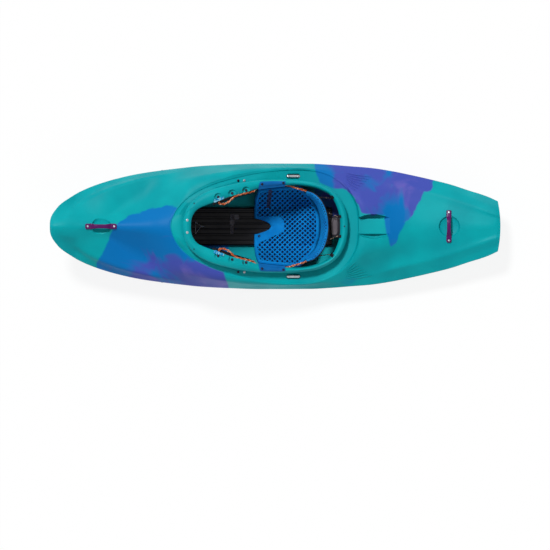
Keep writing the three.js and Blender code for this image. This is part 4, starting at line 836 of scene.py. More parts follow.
def moulded(name, colour, scuff_and_glint, roughness, wave=9, scuffs=0.4, sheen=SHEEN):
    """Moulded plastic: grain and pale scuffs, which on the floor panel are also painted glints."""
    look, tree, shader = new_look(name, sheen)
    grain = place_group(tree, grain_group, Wave=wave, Pebble=420)
    scuff = place_group(tree, scuff_group, Scale=PLASTIC_SCUFF_SCALE, Amount=scuffs)
    shade, mask = grain.outputs["Shade"], scuff.outputs["Mask"]
    base = mixed(tree, shade, darker(colour, 0.86), colour)
    link(tree, mixed(tree, mask, base, scuff_and_glint), shader.inputs["Base Color"])
    rough = ramped(tree, shade, 0, 1, roughness + ROUGH_SPREAD, roughness - ROUGH_SPREAD)
    rough = sum_of(tree, "MULTIPLY_ADD", mask, SCUFF_ROUGHER, rough)
    link(tree, rough, shader.inputs["Roughness"])
    bump(tree, shader, grain.outputs["Height"], PLASTIC_RELIEF)
    return look


def metal(name, colour, roughness):
    """Stainless steel with a fine turned finish."""
    look, tree, shader = new_look(name, STEEL_SHEEN)
    grain = place_group(tree, grain_group, Wave=60, Pebble=900)
    shade = grain.outputs["Shade"]
    link(tree, mixed(tree, shade, darker(colour, 0.8), colour), shader.inputs["Base Color"])
    shader.inputs["Metallic"].default_value = 1
    rough = ramped(tree, shade, 0, 1, roughness + 0.1, roughness)
    link(tree, rough, shader.inputs["Roughness"])
    bump(tree, shader, grain.outputs["Height"], STEEL_RELIEF)
    return look


print("shared effects:", [group.name for group in bpy.data.node_groups])

# %% [markdown]
# ## Paint of the shell
# The shell is one piece of polyethylene, coloured by powders that melt together in the mould. Teal
# is the ground. One blue and purple patch covers the port side of the bow and another the starboard
# side of the stern. Each point of the mesh stores how far it lies inside a patch. The material
# turns that distance into an edge that is ragged where the powders ran and straight where the mould
# was masked.

# %% Patches, in millimetres seen from above
BOW_PATCH = [
    (-1045, -420), (-1000, -330), (-942, -206), (-889, -57), (-851, 7), (-772, 60), (-665, 95),
    (-600, 104), (-548, 112), (-520, 100), (-300, 60), (-275, 60), (-273, -245), (-246, -320),
    (-244, -420),
]
STERN_PATCH = [
    (210, 420), (210, 320), (218, 279), (239, 233), (285, 216), (325, 193), (352, 206), (388, 192),
    (426, 163), (446, 95), (452, 66), (594, 60), (583, 26), (586, -18), (608, -56), (605, -94),
    (621, -113), (646, -83), (667, -23), (738, 69), (760, 97), (770, 135), (787, 189), (830, 197),
    (847, 243), (900, 420),
]
BOW_STRAIGHT_AT = -250
STERN_STRAIGHT_AT = 210
STRAIGHT_REACH, STRAIGHT_SHARE = 45, 0.2
GUTTER_FADE, GUTTER_RAGGED = 20, 0.1
PAINT_KEEL_SLOPE = 0.55
UNDER_DROP, UNDER_HALF, UNDER_PLACE = 60, 260, 320
EDGE_KEPT = 80
FAR_AWAY = 1e3
SMUDGE_CENTRE = (405, -330, 190)
SMUDGE_SIZE = (130, 90, 45)


def signed_distance(points, outline):
    """Distance of 2-D points to a closed outline, positive inside."""
    outline = np.array(outline, float)
    best = np.full(len(points), 1e9)
    inside = np.zeros(len(points), bool)
    for a, b in zip(outline, np.roll(outline, -1, axis=0)):
        run = b - a
        t = np.clip(((points - a) @ run) / (run @ run), 0, 1)
        best = np.minimum(best, np.linalg.norm(points - (a + t[:, None] * run), axis=1))
        crosses = (a[1] > points[:, 1]) != (b[1] > points[:, 1])
        with np.errstate(divide="ignore", invalid="ignore"):
            at = a[0] + (points[:, 1] - a[1]) * run[0] / run[1]
        inside ^= crosses & (points[:, 0] < at)
    return np.where(inside, best, -best)


def store(mesh, name, values):
    layer = mesh.attributes.get(name) or mesh.attributes.new(name, "FLOAT", "POINT")
    layer.data.foreach_set("value", np.asarray(values, np.float32))


def points_of(mesh):
    flat_list = np.empty(len(mesh.vertices) * 3, np.float32)
    mesh.vertices.foreach_get("co", flat_list)
    return flat_list.reshape(-1, 3).astype(float) / MM


gutter_edge = [(along(share), y * HALF_BEAM) for share, y in mirrored(GUTTER_EDGE)]
gutter_loop = Spline(gutter_edge, closed=True).many(256)


def raggedness(x, straight_at):
    """0 at the straight edge of a patch, 1 away from it."""
    return np.clip(np.abs(x - straight_at) / STRAIGHT_REACH - STRAIGHT_SHARE, 0, 1)


def bow_purple(x, y):
    """How far the bow's patch leans to purple: more out to port, less at its front."""
    return 0.1 + 0.85 * past(-y, 95, 130) - 0.4 * short_of(x, -760, 120)


def stern_purple(x, y):
    """How far the stern's patch leans to purple: less at its front and in its tip."""
    return 0.95 - 0.75 * short_of(x, 330, 110) - 0.7 * past(x, 540, 60) * short_of(y, 190, 110)


def paint(mesh):
    """Stores where the patches lie on a mesh of the shell."""
    p = points_of(mesh)
    x, y, z = p.T
    below = np.clip(lines["widest_z"](share_at(x)) * HEIGHT - z, 0, None)
    # below the widest line, a side is unrolled outward, and the bottom counts as one place
    plan = p[:, :2].copy()
    plan[:, 1] = np.where(y < 0, y - below * PAINT_KEEL_SLOPE, y + below * PAINT_KEEL_SLOPE)
    under = (below > UNDER_DROP) & (np.abs(y) < UNDER_HALF)
    plan[:, 1] = np.where(under, np.sign(y + TINY) * UNDER_PLACE, plan[:, 1])
    gutter = signed_distance(p[:, :2], gutter_loop)
    outside_gutter = np.where(below > 0, FAR_AWAY, -gutter)
    bow = np.minimum(signed_distance(plan, BOW_PATCH), outside_gutter)
    stern = signed_distance(plan, STERN_PATCH)
    ragged_bow = raggedness(x, BOW_STRAIGHT_AT) * np.clip(-gutter / GUTTER_FADE, GUTTER_RAGGED, 1)
    near_bow = x < 0
    away = sum(((p[:, k] - SMUDGE_CENTRE[k]) / SMUDGE_SIZE[k]) ** 2 for k in range(3))
    edge = np.clip(np.where(near_bow, bow, stern), -EDGE_KEPT, EDGE_KEPT)
    store(mesh, "patch_edge", edge * MM)
    store(mesh, "patch_ragged", np.where(near_bow, ragged_bow, raggedness(x, STERN_STRAIGHT_AT)))
    store(mesh, "patch_purple", np.where(near_bow, bow_purple(x, y), stern_purple(x, y)))
    store(mesh, "smudge", np.clip(1 - np.sqrt(away), 0, 1))


# %% [markdown]
# Inside a patch the two colours marble. Warped noise decides between them, leaning to purple where
# the stored value says so, and a little of a lighter violet runs along their border.

# %% Shell material
TEAL = srgb(0, 163, 170)
TEAL_DEEP = srgb(0, 151, 160)
PATCH_BLUE = srgb(0, 112, 182)
PATCH_PURPLE = srgb(66, 80, 172)
PATCH_VIOLET = srgb(96, 92, 180)
SCUFF_TEAL = srgb(50, 178, 182)
SHELL_SHEEN = 0.1
EDGE_WANDER, EDGE_SOFTNESS = 0.05, (-0.005, 0.006)
PURPLE_PULL, PURPLE_FROM, PURPLE_FULL = 0.36, 0.6, 0.8
STREAK_FROM, STREAK_FULL = 0.5, 0.75
SMUDGE_FROM, SMUDGE_FULL, SMUDGE_STRENGTH = 0.1, 0.45, 0.75
SHELL_ROUGH, SHELL_ROUGH_LEAST, SHELL_SCUFF_ROUGHER = 0.52, 0.46, 0.5


def stored(tree, name):
    """A value that the mesh stores at each point."""
    return node(tree, "ShaderNodeAttribute", attribute_name=name).outputs["Fac"]


def make_shell_look():
    look, tree, shader = new_look("shell_plastic", SHELL_SHEEN)
    place = object_place(tree)

    def noise(scale, detail, distortion=0):
        values = {"Scale": scale, "Detail": detail, "Distortion": distortion}
        made = node(tree, "ShaderNodeTexNoise", values)
        link(tree, place, made.inputs["Vector"])
        return made.outputs["Fac"]

    # the edge of a patch wanders only where it is ragged
    wander = sum_of(tree, "SUBTRACT", noise(13, 3), 0.5)
    wander = sum_of(tree, "MULTIPLY", wander, EDGE_WANDER)
    wander = sum_of(tree, "MULTIPLY", wander, stored(tree, "patch_ragged"))
    edge = sum_of(tree, "ADD", stored(tree, "patch_edge"), wander)
    patch = ramped(tree, edge, *EDGE_SOFTNESS)
    # blue and purple marble inside it
    pull = sum_of(tree, "MULTIPLY", stored(tree, "patch_purple"), PURPLE_PULL)
    marble = sum_of(tree, "ADD", noise(4.6, 3, 1.2), pull)
    is_purple = ramped(tree, marble, PURPLE_FROM, PURPLE_FULL)
    streak = ramped(tree, noise(5, 4, 1.2), STREAK_FROM, STREAK_FULL)
    purple = mixed(tree, streak, PATCH_PURPLE, PATCH_VIOLET)
    colours = mixed(tree, is_purple, PATCH_BLUE, purple)
    # the teal ground carries one faint smudge of blue
    grain = place_group(tree, grain_group, Wave=6, Pebble=380)
    ground = mixed(tree, grain.outputs["Shade"], TEAL_DEEP, TEAL)
    faint = sum_of(tree, "MULTIPLY", noise(11, 4, 1), stored(tree, "smudge"))
    faint = ramped(tree, faint, SMUDGE_FROM, SMUDGE_FULL)
    faint = sum_of(tree, "MULTIPLY", faint, SMUDGE_STRENGTH)
    ground = mixed(tree, faint, ground, PATCH_BLUE)
    base = mixed(tree, patch, ground, colours)
    # scuffs are paler and rougher than the skin
    scuff = place_group(tree, scuff_group, Scale=34, Amount=0.07).outputs["Mask"]
    link(tree, mixed(tree, scuff, base, SCUFF_TEAL), shader.inputs["Base Color"])
    rough = ramped(tree, grain.outputs["Shade"], 0, 1, SHELL_ROUGH, SHELL_ROUGH_LEAST)
    rough = sum_of(tree, "MULTIPLY_ADD", scuff, SHELL_SCUFF_ROUGHER, rough)
    link(tree, rough, shader.inputs["Roughness"])
    bump(tree, shader, grain.outputs["Height"], PLASTIC_RELIEF)
    return look


shell_look = make_shell_look()
print("shell material has", len(shell_look.node_tree.nodes), "nodes")

# %% [markdown]
# ## The shell
# The real shell is spun out of powder in a hollow mould: a skin about 6.5 mm thick, with the
# cockpit's rim moulded on. Here it is a loft through some 220 sections. Recesses are cut from it
# with tools whose walls end in a small outward curve, so the deck rolls over into each of them as
# plastic does. A second, smaller loft is taken out of the inside.

# %% Lofts
STATIONS = 220
CROWDING = 0.11
FIRST_SHARE = 0.0006
CAVITY_SHARES = (0.022, 0.955)


def stations(first, last):
    even = np.linspace(0, 1, STATIONS + 1)
    shares = even - CROWDING * np.sin(2 * np.pi * even)
    return shares[(shares >= first) & (shares <= last)]


def loft(name, first, last, inset):
    shares = [first, *stations(first + 1e-4, last - 1e-4), last]
    return skin(name, [section_ring(share, inset) for share in shares])


outer = loft("hull", FIRST_SHARE, 1, 0)
cavity = loft("cavity", *CAVITY_SHARES, WALL)

# %% Gutter round the cockpit
GUTTER_ROUND = 12
GUTTER_FLARE = 0.12
GUTTER_DEPTH = 7
SOFT_FLARE, SOFT_DEPTH = 16, 24
LIP_ROLL = 6
LIP_REACH = 18
RIM_WALL = 7
OVERRUN = 60
ROLL_SHARE, CORNER_SHARE_OF_DEPTH = 0.45, 0.5


def inward_normals(loop):
    run = np.roll(loop, -1, axis=0) - np.roll(loop, 1, axis=0)
    normal = np.column_stack([-run[:, 1], run[:, 0]])
    normal /= np.linalg.norm(normal, axis=1)[:, None]
    centre = loop.mean(axis=0)
    return normal * np.sign(np.sum(normal * (centre - loop), axis=1))[:, None]


rim_loops = {}
for name, column in (("lip", 0), ("opening", 2)):
    side_points = [(along(row[column]), row[column + 1] * HALF_BEAM) for row in RIM]
    rim_loops[name] = Spline(mirrored(side_points), closed=True)


def rim_frame(turn):
    """A place on the rim: lip point, way inward, width and height of the lip."""
    lip, opening = rim_loops["lip"].at(turn % 1), rim_loops["opening"].at(turn % 1)
    width = float(np.linalg.norm(opening - lip))
    return lip, (opening - lip) / width, width, float(lip_height_at(lip[0]))


def on_rim(frame_at, inset, rise):
    lip, inward, _, base = frame_at
    return np.array([*(lip + inward * inset), base + rise])


def gutter_tool(grow):
    """The space of the gutter. A grown one leaves the wall's thickness under it."""
    normals = inward_normals(gutter_loop)
    floor_z = gutter_floor_at(gutter_loop[:, 0])
    deck_z = np.array([deck_height(x, y) for x, y in gutter_loop])
    depth = np.maximum(deck_z - floor_z, GUTTER_DEPTH)
    floor_z = deck_z - depth
    roll = np.minimum(LIP_ROLL, depth * ROLL_SHARE)
    corner = np.minimum(GUTTER_ROUND, depth * CORNER_SHARE_OF_DEPTH)

    def ring(inset, height):
        flat_ring = gutter_loop + normals * (inset - grow)[:, None]
        return np.column_stack([flat_ring, height - grow])

    turns = np.arange(len(gutter_loop)) / len(gutter_loop)
    inner_lip = np.array([on_rim(rim_frame(turn), LIP_REACH + 1, 0)[:2] for turn in turns])
    # first the floor from the rim outward, then its round corner, then the rolled edge of the deck
    rings = []
    start = gutter_loop + normals * (corner - grow)[:, None]
    for t in (1, 0.66, 0.33):
        flat_ring = start + (inner_lip - start) * t
        rings.append(np.column_stack([flat_ring, gutter_floor_at(flat_ring[:, 0]) - grow]))
    for angle in np.radians((0, 22, 45, 68, 90)):
        rings.append(ring(corner * (1 - np.sin(angle)), floor_z + corner * (1 - np.cos(angle))))
    # where the gutter is shallow it opens out softly
    flare = GUTTER_FLARE * np.maximum(depth - roll - corner, 0)
    flare += SOFT_FLARE * np.clip(1 - depth / SOFT_DEPTH, 0, 1)
    for angle in np.radians((0, 20, 40, 60, 80)):
        height = deck_z - roll + roll * np.sin(angle)
        rings.append(ring(-flare - roll * (1 - np.cos(angle)), height))
    top = -flare - roll
    rings.append(ring(top, deck_z + 3))
    rings.append(ring(top - 4, deck_z + OVERRUN))
    return skin("gutter_tool", rings)


# %% Channel, dishes and bar recesses
CHANNEL = {"front": along(0.6817), "rear": along(0.755), "top": 65, "floor": 40}
CHANNEL_FLOOR_Z = (0.5644 * HEIGHT, 0.5756 * HEIGHT)
CHANNEL_SLOT = 24
BOW_DISH = (along(0.115), 52, 26)
STERN_DISH = (along(0.8867), 56, 20)
BAR_AT = (along(0.5408), 0.794 * HALF_BEAM)
BAR_SIZE = (78, 26, 15)


def channel_tool(grow):
    """A flat channel behind the cockpit with a deep slot along each side."""
    rings = []
    for t in np.linspace(0, 1, 41):
        x = CHANNEL["front"] + t * (CHANNEL["rear"] - CHANNEL["front"])
        floor_z = CHANNEL_FLOOR_Z[0] + t * (CHANNEL_FLOOR_Z[1] - CHANNEL_FLOOR_Z[0])
        bulge = (CHANNEL["top"] - CHANNEL["floor"]) * (0.2 + 0.8 * math.sin(math.pi * t))
        slot_z = floor_z - CHANNEL_SLOT * math.sin(math.pi * t)
        low, top = CHANNEL["floor"] - grow, CHANNEL["floor"] + grow + bulge
        side = [(low - 3, floor_z), (low, floor_z - 1), (low + 3, slot_z), (top - 4, slot_z)]
        side += [(top - 1, slot_z + 4), (top, floor_z + 12), (top, floor_z + 130)]
        ring = side + [(-y, z) for y, z in side[::-1]]
        rings.append([(x, y, z - grow) for y, z in ring])
    return skin("channel_tool", rings)


DISH_PROFILE = ((0.02, 0), (0.5, 0.03), (0.78, 0.12), (0.92, 0.3), (0.975, 0.55), (0.99, 0.85))


def dish_tool(place, radius, depth, grow):
    """A bowl with a steep wall and a flat bottom, under the grip of a handle."""
    top = deck_height(place, 0)
    rows = [
        (radius * reach + grow, top - depth * (1 - rise) - grow) for reach, rise in DISH_PROFILE
    ]
    rows += [(radius + grow, top - 1.5), (radius + 3 + grow, top + OVERRUN)]
    return skin("dish_tool", [circle(r, z, 72, x=place) for r, z in rows])


def gutter_spot(x, y):
    """A place on the gutter floor and the way it faces."""
    slope = float(gutter_floor_at(x + 2) - gutter_floor_at(x - 2)) / 4
    up = Vector((-slope, 0, 1)).normalized()
    return Vector((x, y, float(gutter_floor_at(x)))), up


def basis_at(spot, up, heading=Vector((1, 0, 0))):
    """A frame whose Z is up and whose X follows the heading."""
    ahead = (heading - up * heading.dot(up)).normalized()
    across = up.cross(ahead)
    turn = Matrix((ahead, across, up)).transposed().to_4x4()
    return Matrix.Translation(spot) @ turn


def placed(points, basis):
    return np.array([basis @ Vector(p) for p in points])


def pill(length, width, steps=14):
    half = (length - width) / 2
    turns = np.linspace(-math.pi / 2, math.pi / 2, steps)
    right = [(half + math.cos(a) * width / 2, math.sin(a) * width / 2) for a in turns]
    return right + [(-x, -y) for x, y in right]


def bar_tool(side, grow):
    """A pill-shaped recess with a round bottom corner and a rolled edge."""
    length, width, depth = BAR_SIZE
    basis = basis_at(*gutter_spot(BAR_AT[0], side * BAR_AT[1]))
    rows = [(3, -depth), (1, -depth + 1), (0, -depth + 3.5)]
    rows += [(0, -2.5), (-0.7, -0.8), (-2.5, 0.4), (-2.6, OVERRUN)]
    rings = []
    for inset, height in rows:
        outline = pill(length + 2 * (grow - inset), width + 2 * (grow - inset))
        rings.append(placed([(x, y, height - grow) for x, y in outline], basis))
    return skin("bar_tool", rings)


def recess_tools(grow):
    return [
        gutter_tool(grow),
        channel_tool(grow),
        dish_tool(*BOW_DISH, grow),
        dish_tool(*STERN_DISH, grow),
        bar_tool(1, grow),
        bar_tool(-1, grow),
    ]


carve(cavity, recess_tools(WALL))

# %% Rim of the cockpit
RIM_STEPS = 288


def rim_top(width):
    """The upper face of the rim: inset from the lip and rise above it."""
    outer_edge = [(0, 4), (1.5, 12), (8, 20)]
    inner_edge = [(width - 3, 16), (width, 11)]
    return [*outer_edge, (width * 0.42, 27), (width * 0.72, 24), *inner_edge]


def rim_top_rise(width, inset):
    profile = rim_top(width)
    return float(np.interp(inset, [p[0] for p in profile], [p[1] for p in profile]))


def rim_ring(turn):
    """One section of the rim, whose two feet stand in the floor of the gutter."""
    at = rim_frame(turn)
    width = at[2]
    wall = LIP_REACH + RIM_WALL
    under = wall + (width - wall) / 2
    top = Spline(rim_top(width)).many(19)
    beneath = Spline([(width, 11), (width - 1, 5), (under, 13.7), (wall, 20)]).many(9)[1:]
    profile = [(LIP_REACH, 1), (3, 0), (1, 1), *top, *beneath]
    foot_out = on_rim(at, LIP_REACH, 0)
    foot_in = on_rim(at, wall, 0)
    for foot in (foot_out, foot_in):
        foot[2] = gutter_floor_at(foot[0]) - 5
    return np.array([foot_out, *[on_rim(at, a, b) for a, b in profile], foot_in])


def opening_tool():
    frames = [rim_frame(i / RIM_STEPS) for i in range(RIM_STEPS)]

    def ring(rise):
        points = np.array([on_rim(f, LIP_REACH + RIM_WALL / 2, 0) for f in frames])
        points[:, 2] = gutter_floor_at(points[:, 0]) + rise
        return points

    return skin("opening_tool", [ring(-WALL * 3), ring(OVERRUN * 2)])


rim = skin("rim", [rim_ring(i / RIM_STEPS) for i in range(RIM_STEPS)], closed=True)
carve(outer, [*recess_tools(0), cavity, opening_tool()])
carve(outer, [rim], "UNION")
print("shell:", len(outer.data.polygons), "faces")

# %% [markdown]
# Three half-round pockets on each side of the rim take the bolts of the thigh braces. A spot on the
# rim is found by halving: where does the loop pass this place along the boat?

# %% Spots on the rim


def rim_turn(x, inset_share):
    """The share of a turn at which the rim passes a place along the boat."""
    low, high = 0, 0.5
    for _ in range(24):
        middle = (low + high) / 2
        at = rim_frame(middle)
        if on_rim(at, at[2] * inset_share, 0)[0] < x:
            low = middle
        else:
            high = middle
    return low


def rim_spot(x, side, inset_share):
    """A place on top of the rim and the way that its surface faces."""

    def point(where, share):
        turn = rim_turn(where, share)
        at = rim_frame(turn if side > 0 else 1 - turn)
        inset = at[2] * share
        return Vector(on_rim(at, inset, rim_top_rise(at[2], inset)))

    spot = point(x, inset_share)
    run = point(x + 2, inset_share) - spot
    across = point(x, inset_share + 0.01) - spot
    up = run.cross(across).normalized()
    return spot, up if up.z > 0 else -up


THIGH_BOLTS = ((0.374, 0.7), (0.405, 0.77), (0.436, 0.83))
POCKET_RADIUS = 19.5
POCKET_DEPTH = 8
POCKET_FLOOR = 3
POCKET_SIDES = 40


def pocket_tool(share, inset_share, side):
    basis = Matrix.Translation(rim_spot(along(share), side, inset_share)[0])
    rows = ((-2.5, -POCKET_DEPTH), (0, -POCKET_DEPTH + 2), (0.6, 0), (0.8, OVERRUN))
    rings = [circle(POCKET_RADIUS + wider, height, POCKET_SIDES) for wider, height in rows]
    return skin("pocket_tool", [placed(ring, basis) for ring in rings])


def pocket_floor(share, inset_share, side):
    """A D-shaped plate that closes the bottom of a pocket inside the rim."""
    at = rim_frame(rim_turn(along(share), inset_share))
    spot = rim_spot(along(share), 1, inset_share)[0]
    inward = Vector((*at[1], 0))
    ahead = Vector((-inward.y, inward.x, 0))
    room = at[2] * (1 - inset_share) - 2
    reach = POCKET_RADIUS + POCKET_FLOOR / 2
    rings = []
    for drop in (POCKET_DEPTH + POCKET_FLOOR, POCKET_DEPTH - 1):
        ring = []
        for a in full_turn(POCKET_SIDES):
            x, y, z = spot + ahead * math.cos(a) * reach + inward * min(math.sin(a) * reach, room)
            ring.append((x, side * y, z - drop))
        rings.append(ring)
    return skin("pocket_floor", rings)


pocket_places = [(share, inset, side) for share, inset in THIGH_BOLTS for side in (1, -1)]
carve(outer, [pocket_floor(*place) for place in pocket_places], "UNION")
carve(outer, [pocket_tool(*place) for place in pocket_places])

# %% [markdown]
# Two more things are cut into the top of the rim: a thin groove that runs round its front, and
# three round seats for small plugs.

# %% Groove and plug seats
OVERHEAD = 900
GROOVE = [(-483, -46), (-483, 41), (-476, 63), (-457, 85), (-430, 98)]
GROOVE_RADIUS = 2.4
PLUGS = [(-431, 122), (-431, -122), (370, 0)]
PLUG_RADIUS = 4.2


def shell_spot(x, y):
    """Where a plumb line at this place meets the shell, and the way the shell faces there."""
    _, spot, up, _ = outer.ray_cast(Vector((x, y, OVERHEAD)) * MM, Vector((0, 0, -1)))
    return spot / MM, up


def groove_tool():
    rings = []
    path = Spline(GROOVE).many(60)
    for (x, y), (run_x, run_y) in zip(path, np.gradient(path, axis=0)):
        spot, _ = shell_spot(x, y)
        across = Vector((-run_y, run_x, 0)).normalized()
        ways = [across * math.cos(a) + Vector((0, 0, math.sin(a))) for a in full_turn(8)]
        rings.append([spot + GROOVE_RADIUS * way for way in ways])
    return skin("groove_tool", rings)


def plug_tool(spot, up):
    basis = basis_at(spot, up)
    return skin("plug_tool", [placed(circle(PLUG_RADIUS, z, 20), basis) for z in (-3, 6)])


plug_spots = [shell_spot(x, y) for x, y in PLUGS]
carve(outer, [groove_tool(), *[plug_tool(*spot) for spot in plug_spots]])
print("loose corners deleted:", keep_largest(outer))
smooth(outer, 38)
paint(outer.data)
dress(outer, shell_look, "hull_shell")
print("shell after the pockets:", len(outer.data.polygons), "faces")

# %% [markdown]
# ## Ribs on the rear deck
# Beside the rear of the cockpit, seven fine ribs fan out on each side to give grip. Each is a low
# tapered ridge that follows the deck. They are part of the moulding, so they wear its paint.

# %% Fan of ribs
RIB_COUNT = 7
RIB_STARTS = ((372, 284), (378, 236))
RIB_ENDS = ((520, 262), (432, 186))
RIB_HALF = 3.6
RIB_RISE = 4.6
RIB_STEPS = 14
RIB_SECTION = ((-1, -1.2), (-0.7, 0.7), (-0.3, 1), (0.3, 1), (0.7, 0.7), (1, -1.2))


def rib(index, side):
    t = index / (RIB_COUNT - 1)
    start = np.array(RIB_STARTS[0]) * (1 - t) + np.array(RIB_STARTS[1]) * t
    end = np.array(RIB_ENDS[0]) * (1 - t) + np.array(RIB_ENDS[1]) * t
    run = (end - start) / np.linalg.norm(end - start)
    across = np.array([-run[1], run[0]])
    rings = []
    for k in range(RIB_STEPS + 1):
        s = k / RIB_STEPS
        fullness = math.sin(math.pi * min(max(s, 0.02), 0.98)) ** 0.5
        centre = start + (end - start) * s
        ring = []
        for shift, rise in RIB_SECTION:
            x, y = centre + across * shift * RIB_HALF * fullness
            z = deck_height(x, y) + (rise * RIB_RISE * fullness if rise > 0 else rise)
            ring.append((x, side * y, z))
        ring.append((centre[0], side * centre[1], ring[0][2] - 1))
        rings.append(ring)
    return skin(f"deck_rib_{index + 1}_{'right' if side > 0 else 'left'}", rings)


for side, word in SIDES:
    ribs = [rib(i, side) for i in range(RIB_COUNT)]
    fan = join(ribs[0], ribs[1:])
    fan.name = f"deck_ribs_{word}"
    smooth(fan, 50)
    paint(fan.data)
    dress(fan, shell_look)

# %% [markdown]
# ## Soft outfitting
# The seat's liner is one sheet of closed-cell foam, punched with rows of small diamonds. It is
# modelled as a bowl from the same equation as the CAD's seat, fine enough for each hole to be a
# real dimple.

# %% Foam, punched and plain
LINER_BLUE = srgb(0, 136, 214)
LINER_DEEP = srgb(0, 122, 200)
# painted shade for the inside of punched holes and pits
HOLE_PAINTED_SHADE = srgb(2, 20, 60)
LINER_PALE = srgb(40, 140, 210)
# colour and strength of a strip of painted shadow on the liner
PAINTED_SHADOW = srgb(58, 44, 58)
PAINTED_SHADOW_STRENGTH = 0.8
HOLE_FROM, HOLE_FULL = 0.25, 0.7
FOAM_ROUGH, FOAM_ROUGH_LEAST = 0.9, 0.76


def foam(name, colour, deep, pale, hole=None, relief=0.0005):
    """Closed-cell foam, fine cells, soft sheen; painted shade in holes, a painted shadow strip."""
    look, tree, shader = new_look(name, SHEEN)
    grain = place_group(tree, grain_group, Wave=14, Pebble=520)
    scuff = place_group(tree, scuff_group, Scale=50, Amount=0.25)
    shade = grain.outputs["Shade"]
    base = mixed(tree, shade, deep, colour)
    base = mixed(tree, scuff.outputs["Mask"], base, pale)
    # inside the holes and pits the colour is painted darker: painted shade
    if hole:
        hole_shade_mask = ramped(tree, stored(tree, "hole"), HOLE_FROM, HOLE_FULL)
        base = mixed(tree, hole_shade_mask, base, hole)
        # a strip of painted shadow, stored on the liner
        shadow_mix = sum_of(tree, "MULTIPLY", stored(tree, "shadow_strip"), PAINTED_SHADOW_STRENGTH)
        base = mixed(tree, shadow_mix, base, PAINTED_SHADOW)
    link(tree, base, shader.inputs["Base Color"])
    rough = ramped(tree, shade, 0, 1, FOAM_ROUGH, FOAM_ROUGH_LEAST)
    link(tree, rough, shader.inputs["Roughness"])
    bump(tree, shader, grain.outputs["Height"], relief)
    return look


liner_look = foam("liner_foam", LINER_BLUE, LINER_DEEP, LINER_PALE, HOLE_PAINTED_SHADE)
BAND_BLUES = srgb(8, 140, 215), srgb(4, 120, 200), srgb(60, 160, 220)
# the pits of the cushion get the same painted shade
band_look = foam("backband_foam", *BAND_BLUES, HOLE_PAINTED_SHADE)
black_foam = foam("black_foam", srgb(34, 34, 38), srgb(22, 22, 26), srgb(70, 68, 74), relief=0.0009)

# %% The seat's bowl
SEAT_BASE = 50
SEAT_SHARES = {"front": 0.4567, "lobe": 0.4875, "notch": 0.4904, "tail": 0.55, "rear": 0.5938}
SEAT_X = {name: along(share) for name, share in SEAT_SHARES.items()}
NOTCH_SHARE, CORNER_SHARE, BOTTOM_SHARE = 0.24, 0.62, 0.5
CORNER_BACK, REAR_SWEEP = 19, 90
LOBE_RISE, TAIL_RISE = 18, 70
SIDE_DROP, SIDE_BEND = 35, 1.5
PAD_THICK, PAN_THICK, LAYER_GAP, LINING_GAP = 12, 5, 0.5, 1.3
SLOPE_STEP = 0.01
COLUMN_CROWDING = 0.86
HOLE_DEPTH = 6.5

opening_side = rim_loops["opening"].many(361)[:181]


def opening_half(x):
    """Half the width of the cockpit's opening."""
    return np.interp(x, opening_side[:, 0], opening_side[:, 1])


def seat_points(a, b):
    """Points of the seat's upper face, for shares along and across it."""
    a, b = np.broadcast_arrays(np.asarray(a, float), np.asarray(b, float))
    side = np.abs(b)
    notch = np.minimum(1, side / NOTCH_SHARE)
    corner = np.maximum(0, (side - CORNER_SHARE) / (1 - CORNER_SHARE))
    front = SEAT_X["notch"] - (SEAT_X["notch"] - SEAT_X["front"]) * notch**2
    front = front + CORNER_BACK * corner**2
    rear = SEAT_X["rear"] - REAR_SWEEP * side**3
    x = front + (rear - front) * a
    rise = np.maximum(0, (side - BOTTOM_SHARE) / (1 - BOTTOM_SHARE)) ** SIDE_BEND
    lobe = np.maximum(0, (SEAT_X["lobe"] - x) / (SEAT_X["lobe"] - SEAT_X["front"]))
    tail = np.maximum(0, (x - SEAT_X["tail"]) / (SEAT_X["rear"] - SEAT_X["tail"]))
    base = SEAT_BASE + (LOBE_RISE * lobe**2 + TAIL_RISE * tail**2) * (1 - rise)
    top = lip_height_at(x) - SIDE_DROP
    half = opening_half(x) - LINING_GAP * 2 - PAD_THICK - LAYER_GAP - PAN_THICK
    return np.stack([x, b * half, base + (top - base) * rise], axis=-1)


def seat_normals(a, b):
    step = SLOPE_STEP
    ahead = seat_points(np.minimum(1, a + step), b) - seat_points(np.maximum(0, a - step), b)
    across = seat_points(a, np.minimum(1, b + step)) - seat_points(a, np.maximum(-1, b - step))
    normal = np.cross(ahead, across)
    normal /= np.linalg.norm(normal, axis=-1, keepdims=True)
    return normal * np.where(normal[..., 2:] < 0, -1, 1)


